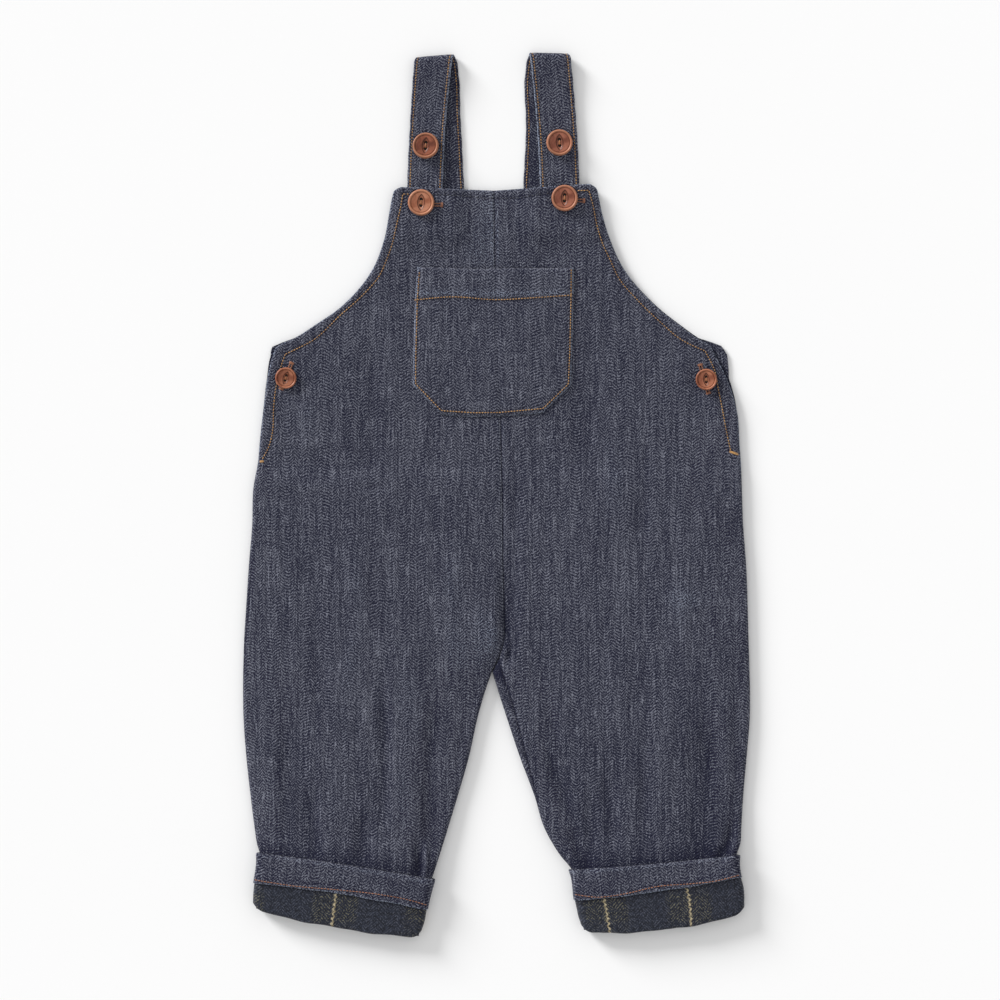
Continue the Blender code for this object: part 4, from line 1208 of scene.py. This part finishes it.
def buttonhole_runs(hole):
    start, end = np.array(hole[:2]), np.array(hole[2:])
    along = (end - start) / np.linalg.norm(end - start)
    side = np.array([-along[1], along[0]])
    spots = []
    for n in range(int(np.linalg.norm(end - start) / HOLE_PITCH)):
        centre = start + along * n * HOLE_PITCH
        spots += [(centre + side * SLIT_HALF, centre + side * HOLE_HALF),
                  (centre - side * SLIT_HALF, centre - side * HOLE_HALF)]
    for tip in (start, end):
        for n in range(-1, 2):
            centre = tip + along * n * 0.5
            spots.append((centre - side * BAR_HALF, centre + side * BAR_HALF))
    return [laid(body_probe, a, b, ON_CLOTH) for a, b in spots]


stitches("buttonholes", [run for hole in HOLES for run in buttonhole_runs(hole)], 0.6)


def bar_runs(a, b, count=4, gap=0.35):
    a, b = np.array(a, float), np.array(b, float)
    side = np.array([-(b - a)[1], (b - a)[0]]) / np.linalg.norm(b - a)
    shifts = [side * (n - (count - 1) / 2) * gap for n in range(count)]
    return [laid(body_probe, a + shift, b + shift, ON_CLOTH) for shift in shifts]


stitches("bar_tacks", bar_runs((-163.6, 23.8), (-160.6, 24.0)) + bar_runs((160.6, 30.8), (167.4, 28.6)), 0.5)

# %% [markdown]
# ## Cuff and centre seam stitches
# The turn-up's hem is sewn with rust thread near its raw edge, and a pale stitch shows here and there in the valley
# down the middle. Both follow lines read off the garment, like the others.

# %% Cuff and centre seam stitches
CUFF_STITCH = {
    "right": [(-166.6, -264.4), (-140, -268.4), (-108.6, -271.2), (-80, -274.4), (-57, -279), (-48, -281.8)],
    "left": [(54, -274.5), (69.4, -276.2), (89.6, -273.6), (110.7, -268.8), (132.8, -267), (150.4, -265.2),
             (167.4, -261)],
}
for side in ("right", "left"):
    hem_probe = probe_of(pieces[f"cuff_hem_{side}_cloth"])
    stitches(f"cuff_{side}_stitch", runs_on(hem_probe, smooth_line(CUFF_STITCH[side]), 2.2, 1.75, 0.15), 0.62)

centre = np.array([(read(BODY, "seam_y", y, curve, "seam_x"), y) for y in np.arange(209, -96, -3.0)])
centre[:, 0] -= 0.9
stitches("centre_seam_stitch", runs_on(body_probe, centre, 2.2, 1.0, 0.12), 0.55)

# %% [markdown]
# ## Shader arithmetic
# A small wrapper lets shader maths read like ordinary sums. It holds one output socket, and each operator adds the
# matching Math node. All other nodes come from one method, so every finish below is built the same way.

# %% Shader wrapper
class Wire:
    """One output of a node, with the operators that finishes use."""

    def __init__(self, finish, socket):
        self.finish, self.socket = finish, socket

    def beside(self, output):
        """Another output of the same node."""
        return Wire(self.finish, self.socket.node.outputs[output])

    def __add__(self, other):
        return self.finish.maths("ADD", self, other)

    def __sub__(self, other):
        return self.finish.maths("SUBTRACT", self, other)

    def __rsub__(self, other):
        return self.finish.maths("SUBTRACT", other, self)

    def __mul__(self, other):
        return self.finish.maths("MULTIPLY", self, other)

    __radd__, __rmul__ = __add__, __mul__


class Finish:
    """A material and the nodes in it."""

    def __init__(self, name, roughness, **fixed):
        self.material = bpy.data.materials.new(name)
        self.material.use_nodes = True
        self.tree = self.material.node_tree
        self.shader = self.tree.nodes["Principled BSDF"]
        self.shader.inputs["Roughness"].default_value = roughness
        for socket, value in fixed.items():
            self.shader.inputs[socket.replace("_", " ")].default_value = value

    def node(self, kind, settings=None, inputs=None, output=0):
        made = self.tree.nodes.new(kind)
        for key, value in (settings or {}).items():
            setattr(made, key, value)
        for key, value in (inputs or {}).items():
            if isinstance(value, Wire):
                self.tree.links.new(value.socket, made.inputs[key])
            else:
                made.inputs[key].default_value = value
        return Wire(self, made.outputs[output])

    def maths(self, operation, *inputs):
        return self.node("ShaderNodeMath", {"operation": operation}, dict(enumerate(inputs)))

    def feed(self, socket, wire):
        self.tree.links.new(wire.socket, self.shader.inputs[socket])

    def emboss(self, strength, distance, height):
        """Turns a height into the shader's bumps."""
        inputs = {"Strength": strength, "Distance": distance, "Height": height}
        self.feed("Normal", self.node("ShaderNodeBump", None, inputs))

    def fade(self):
        """The wear, painted shade and painted highlight that were stored on the mesh."""
        return self.node("ShaderNodeAttribute", {"attribute_name": "fade"}, None, 2)

    def ripple(self, wire, length):
        """A wave from -1 to 1 that repeats every length."""
        return self.maths("SINE", wire * (2 * pi / length))

    def cloth_uv(self):
        """The cloth's own coordinates in millimetres, across and along."""
        across = self.node("ShaderNodeSeparateXYZ", None, {0: self.node("ShaderNodeUVMap", {"uv_map": "cloth"})})
        return across * 1000.0, across.beside(1) * 1000.0

    def noise(self, u, v, scale_u, scale_v, detail=2.0):
        """Noise that is stretched across and along the cloth, from 0 to 1."""
        place = self.node("ShaderNodeCombineXYZ", None, {0: u * scale_u, 1: v * scale_v})
        return self.node("ShaderNodeTexNoise", None, {"Vector": place, "Scale": 1.0, "Detail": detail})

    def yarns(self, u, v, scale_u, scale_v, detail=0.0):
        """The same noise about 0."""
        return self.noise(u, v, scale_u, scale_v, detail) - 0.5

    def grain(self, **inputs):
        """Noise in the piece's own space."""
        place = self.node("ShaderNodeTexCoord", output=3)
        return self.node("ShaderNodeTexNoise", None, {"Vector": place, **inputs})

    def mix(self, factor, a, b):
        return self.node("ShaderNodeMix", {"data_type": "RGBA"}, {0: factor, 6: a, 7: b}, 2)

    def limit(self, wire, low, high):
        """0 below low and 1 above high, smooth between them."""
        return self.node("ShaderNodeMapRange", {"interpolation_type": "SMOOTHSTEP"},
                         {"Value": wire, "From Min": low, "From Max": high})


def colour(red, green, blue):
    return (red, green, blue, 1.0)


print("operators of a wire:", [name for name in vars(Wire) if name.strip("_") in ("add", "sub", "rsub", "mul")])

# %% [markdown]
# ## Denim
# The cloth is a herringbone twill: slanting lines that change direction every few millimetres. A folded ramp
# across the cloth bends straight stripes into zigzags. Slubs are noise stretched along the warp, and the pale
# flecks are weft showing between the dark yarns.

# %% Denim finish
INK = colour(0.007, 0.008, 0.024)
CHALK = colour(0.205, 0.214, 0.262)
FRAY = colour(0.205, 0.240, 0.315)
TWILL_PITCH, TWILL_SLOPE, LANE = 2.15, 0.8, 5.0


def denim_finish(name, depth):
    cloth = Finish(name, 0.9, Sheen_Weight=0.08, Sheen_Roughness=0.5, Specular_IOR_Level=0.18)
    u, v = cloth.cloth_uv()
    zigzag = cloth.maths("PINGPONG", u + cloth.yarns(u, v, 0.11, 0.002, 2.0) * 11.0, LANE)
    up_twill = v + zigzag * TWILL_SLOPE + cloth.yarns(u, v, 0.35, 0.35, 2.0) * 0.6
    twill = cloth.ripple(up_twill, TWILL_PITCH)
    fleck = cloth.yarns(u, up_twill, 0.62, 1.30)
    yarn = cloth.yarns(u, v, 1.6, 1.3)
    slub = cloth.yarns(u, v, 0.8, 0.03, 2.0)
    streak = cloth.yarns(u, v, 0.25, 0.012, 1.0)
    weft = cloth.yarns(u, v, 0.035, 0.8, 1.0)
    patch = cloth.yarns(u, v, 0.03, 0.018, 1.0)
    pale = cloth.limit(cloth.noise(u + 40.0, v, 0.95, 0.09, 1.0), 0.56, 0.74)
    knot = cloth.limit(cloth.noise(u, v + 90.0, 1.1, 1.1, 0.0), 0.80, 0.88)
    fade = cloth.fade()
    weave = twill * 0.25 + fleck * 1.1 + yarn * 2.1
    dye = slub * 0.85 + streak * 0.35 + weft * 0.25 + patch * 0.2 + pale * 0.42 + knot * 0.5
    # fade brings in the mesh's wear, painted shade and painted highlight; where it is above 0 the pale fray colour
    # shows too.
    body = cloth.mix(cloth.limit(weave + dye + fade * 0.6 + depth, -0.12, 1.12), INK, CHALK)
    fuzz = cloth.limit(fade * 0.9 + fleck * 1.6 + yarn * 2.8, 0.30, 0.75)
    cloth.feed("Base Color", cloth.mix(fuzz * cloth.limit(fade, 0.02, 0.2), body, FRAY))
    cloth.emboss(0.6, 0.0004, twill * 0.5 + fleck * 1.2 + slub * 0.6 + fuzz * 0.4)
    return cloth.material


denim = denim_finish("washed_denim", 0.165)
cuff_denim = denim_finish("turned_denim", 0.14)
print("denim finishes:", denim.name, cuff_denim.name)

# %% [markdown]
# ## Checked lining
# A brushed cotton check: navy ground, olive bands with a thick pale yarn down the middle of each, and a darker
# band across. The bands come from distances along the cloth, and the nap from fine slanting noise.

# %% Lining finish
NAP_LANE, NAP_PITCH, PLY_PITCH = 6.5, 2.2, 3.3
NIGHT, NAVY = colour(0.005, 0.006, 0.011), colour(0.022, 0.027, 0.045)
BLUE, OLIVE = colour(0.085, 0.093, 0.125), colour(0.150, 0.142, 0.098)
STRAW, CREAM = colour(0.13, 0.105, 0.06), colour(0.46, 0.39, 0.255)


def lining_finish(name, check, first_yarn):
    """The check repeats every so many millimetres, and its first pale yarn lies so far from the seam."""
    cloth = Finish(name, 0.95, Sheen_Weight=0.15, Sheen_Roughness=0.6, Specular_IOR_Level=0.15)
    u, v = cloth.cloth_uv()
    lumps = cloth.yarns(u, v, 0.45, 0.45, 2.0)
    grain = cloth.yarns(u, v, 1.3, 1.3, 1.0)
    speck = cloth.yarns(u, v + 30.0, 1.4, 1.4)
    half = check / 2
    to_yarn = half - cloth.maths("PINGPONG", u + (half - first_yarn), half)
    olive = 1 - cloth.limit(to_yarn + lumps * 5.0, 13.2, 17.0)
    shade = 1 - cloth.limit(cloth.maths("PINGPONG", v + 10.0, 14.0) + lumps * 4.0, 3.2, 6.4)
    up_twill = v + cloth.maths("PINGPONG", u, NAP_LANE) + lumps * 1.6
    strand = cloth.yarns(u, up_twill, 0.9, 1.0)
    nap = cloth.ripple(up_twill, NAP_PITCH) * 0.44 + strand * 1.9 + speck * 1.7 + lumps
    fleck = cloth.limit(nap, 0.18, 0.82)
    # The mesh's fade brings the painted shadow under the hem into the ground.
    ground = cloth.mix(cloth.limit(lumps * 1.5 + grain * 1.8 + cloth.fade(), -0.5, 0.5), NIGHT, NAVY)
    blue_band, olive_band = cloth.mix(fleck * 0.75, ground, BLUE), cloth.mix(fleck, ground, OLIVE)
    checked = cloth.mix(olive * (1 - shade * 0.7), blue_band, olive_band)
    ply = cloth.ripple(v, PLY_PITCH)
    signed = cloth.maths("WRAP", u - first_yarn, half, -half)
    aside = cloth.maths("ABSOLUTE", signed + ply * 0.5 + lumps * 2.6 + grain * 0.9)
    yarn = 1 - cloth.limit(aside, 0.45, 0.95)
    cream = cloth.mix(cloth.limit(ply * 0.4 + grain * 2.0, -0.7, 0.5), STRAW, CREAM)
    cloth.feed("Base Color", cloth.mix(yarn, checked, cream))
    cloth.emboss(0.7, 0.0006, grain * 1.4 + lumps * 1.2 + fleck * 0.5 + yarn * 0.8)
    return cloth.material


lining = {"right": lining_finish("check_right", 63.0, 55.0), "left": lining_finish("check_left", 58.0, 38.5)}
print("linings:", [finish.name for finish in lining.values()])

# %% [markdown]
# ## Thread and button finishes
# Thread has a fine twist that tone and bump both show. The nut buttons are turned from hard shell: cloudy streaks
# of light and dark, a paler edge where the lathe cut it, and a soft polish. Painted shade darkens the eye's outline,
# the rim's groove and the holes, and a painted highlight lies just inside the eye's edge.

# %% Thread and button finishes
def thread_finish(name, base, deep):
    thread = Finish(name, 0.6, Sheen_Weight=0.2)
    twist = thread.grain(Scale=900.0, Detail=2.0)
    tone = thread.limit(twist * 0.6 + thread.grain(Scale=60.0) * 0.5, 0.35, 0.75)
    thread.feed("Base Color", thread.mix(tone, colour(*deep), colour(*base)))
    thread.emboss(0.4, 0.0001, twist)
    return thread.material


THREADS = {name: thread_finish(name, base, deep) for name, base, deep in (
    ("tan_thread", (0.52, 0.285, 0.095), (0.20, 0.095, 0.03)),
    ("dark_thread_and_gap_shade", (0.022, 0.023, 0.034), (0.007, 0.007, 0.012)),
    ("pale_thread", (0.21, 0.23, 0.28), (0.06, 0.065, 0.09)),
    ("rust_thread", (0.36, 0.14, 0.06), (0.15, 0.05, 0.025)),
    ("russet_thread", (0.44, 0.17, 0.05), (0.20, 0.06, 0.016)),
    ("brown_thread", (0.34, 0.135, 0.065), (0.15, 0.05, 0.025)),
)}
# The rim's own paler colour, which also serves as a painted highlight inside the eye, and two painted shade colours.
RIM_AND_HIGHLIGHT_BROWN = colour(0.46, 0.210, 0.120)
PAINTED_SHADE_BROWN = colour(0.05, 0.014, 0.007)
HOLE_SHADE_BLACK = colour(0.004, 0.002, 0.002)


def button_finish(name, shell, polish):
    nut = Finish(name, 0.30, Specular_IOR_Level=0.25)
    place = nut.node("ShaderNodeTexCoord", output=3)
    streaks = nut.grain(Scale=230.0, Detail=3.0, Distortion=1.2)
    clouds = nut.grain(Scale=90.0, Detail=1.0)
    flat = nut.node("ShaderNodeVectorMath", {"operation": "MULTIPLY"}, {0: place, 1: (1000.0, 1000.0, 0.0)})
    out = nut.node("ShaderNodeVectorMath", {"operation": "LENGTH"}, {0: flat}, 1)
    high = nut.node("ShaderNodeSeparateXYZ", None, {0: place}, 2) * 1000.0
    fade = nut.fade()
    body = nut.mix(nut.limit(streaks * 0.5 + clouds * 0.6, 0.38, 0.72), colour(*shell), colour(*polish))
    body = nut.mix(nut.limit(out, 6.6, 8.2) * 0.6, body, RIM_AND_HIGHLIGHT_BROWN)
    # Painted shade on the eye's outline and the rim's groove, then a painted highlight just inside the eye's edge.
    body = nut.mix(nut.limit(0 - fade, 0.05, 0.9) * 0.85, body, PAINTED_SHADE_BROWN)
    body = nut.mix(nut.limit(fade, 0.05, 0.6) * 0.35, body, RIM_AND_HIGHLIGHT_BROWN)
    # Painted shade: the face is black where it lies low, in the holes.
    nut.feed("Base Color", nut.mix(1 - nut.limit(high, 0.55, 0.95), body, HOLE_SHADE_BLACK))
    nut.feed("Roughness", 0.24 + streaks * 0.14)
    nut.emboss(0.1, 0.0001, streaks)
    return nut.material


nuts = {}
for name, shell, polish, worn_by in (
    ("deep_nut", (0.105, 0.029, 0.016), (0.255, 0.082, 0.046), ["strap_button_right"]),
    ("pale_nut", (0.262, 0.086, 0.043), (0.465, 0.200, 0.118), ["bib_button_right"]),
    ("warm_nut", (0.195, 0.059, 0.031), (0.395, 0.155, 0.088), ["side_button_right", "side_button_left"]),
    ("brown_nut", (0.152, 0.045, 0.026), (0.332, 0.120, 0.074), ["strap_button_left", "bib_button_left"]),
):
    nuts.update(dict.fromkeys(worn_by, button_finish(name, shell, polish)))
print("threads:", len(THREADS), "- nut buttons:", len(nuts))

# %% [markdown]
# ## Dressing each piece
# A plain part of each piece's name tells which cloth or thread it takes. The first that fits is used, and what is
# left over is the washed denim of the body.

# %% Give each piece its finish
TAKES = [
    ("cuff_lining_right", lining["right"]), ("cuff_lining_left", lining["left"]), ("cuff_hem", cuff_denim),
    ("button_thread", THREADS["russet_thread"]), ("buttonholes", THREADS["brown_thread"]),
    ("centre_seam_stitch", THREADS["pale_thread"]), ("bib_top_stitch", THREADS["dark_thread_and_gap_shade"]),
    # The dark runs between stitches take the dark thread's finish, as painted shade.
    ("stitch_gap_shade", THREADS["dark_thread_and_gap_shade"]), ("topstitch", THREADS["tan_thread"]),
    ("bar_tacks", THREADS["tan_thread"]), ("_stitch", THREADS["rust_thread"]), *nuts.items(), ("", denim),
]
for name, piece in pieces.items():
    piece.data.materials.clear()
    piece.data.materials.append(next(finish for part, finish in TAKES if part in name))
print("pieces:", len(pieces))

# %% [markdown]
# ## Table, light and camera
# The garment lies on a plain pale table. One broad light from the upper left gives short soft shadows, a pale
# sky fills them, and the camera looks straight down through a long lens, so no part of the garment leans away.

# %% Table
bpy.ops.mesh.primitive_plane_add(size=6.0, location=(0, 0, -0.0002))
table = bpy.context.object
table.name = "tabletop"
paper = Finish("pale_table", 0.9)
mottle = paper.node("ShaderNodeTexNoise", None, {"Scale": 30.0, "Detail": 3.0})
paper.feed("Base Color", paper.mix(mottle * 0.3, colour(0.93, 0.93, 0.93), colour(0.90, 0.90, 0.90)))
table.data.materials.append(paper.material)
print("table at, mm:", round(table.location.z / MM, 2))

# %% Light and camera
SKY = 0.70
SUN_HEIGHT, SUN_BEARING, SUN_SIZE = 18.0, 139.0, 20.0
KEY_SHARE = 0.35
world = bpy.data.worlds.new("studio")
bpy.context.scene.world = world
world.use_nodes = True
world.node_tree.nodes["Background"].inputs[0].default_value = (1.0, 1.0, 1.0, 1.0)
world.node_tree.nodes["Background"].inputs[1].default_value = SKY

key = bpy.data.lights.new("key", "SUN")
key.energy = KEY_SHARE * pi / sin(radians(SUN_HEIGHT))
key.angle = radians(SUN_SIZE)
lamp = bpy.data.objects.new("key", key)
bpy.context.scene.collection.objects.link(lamp)
lamp.rotation_euler = (radians(90 - SUN_HEIGHT), 0, radians(SUN_BEARING + 90))
print("key light, watts per square metre:", round(key.energy, 2))

PIXEL = 0.69
CAMERA_HEIGHT = 3.0
MIDDLE_X, MIDDLE_Y = 500 - 496.5, 496 - 500
lens = bpy.data.cameras.new("camera")
lens.lens = lens.sensor_width * (CAMERA_HEIGHT - 0.005) / (1000 * PIXEL * MM)
camera = bpy.data.objects.new("camera", lens)
camera.location = (MIDDLE_X * PIXEL * MM, MIDDLE_Y * PIXEL * MM, CAMERA_HEIGHT)
bpy.context.scene.collection.objects.link(camera)
bpy.context.scene.camera = camera
bpy.context.scene.view_settings.view_transform = "Standard"

# %% [markdown]
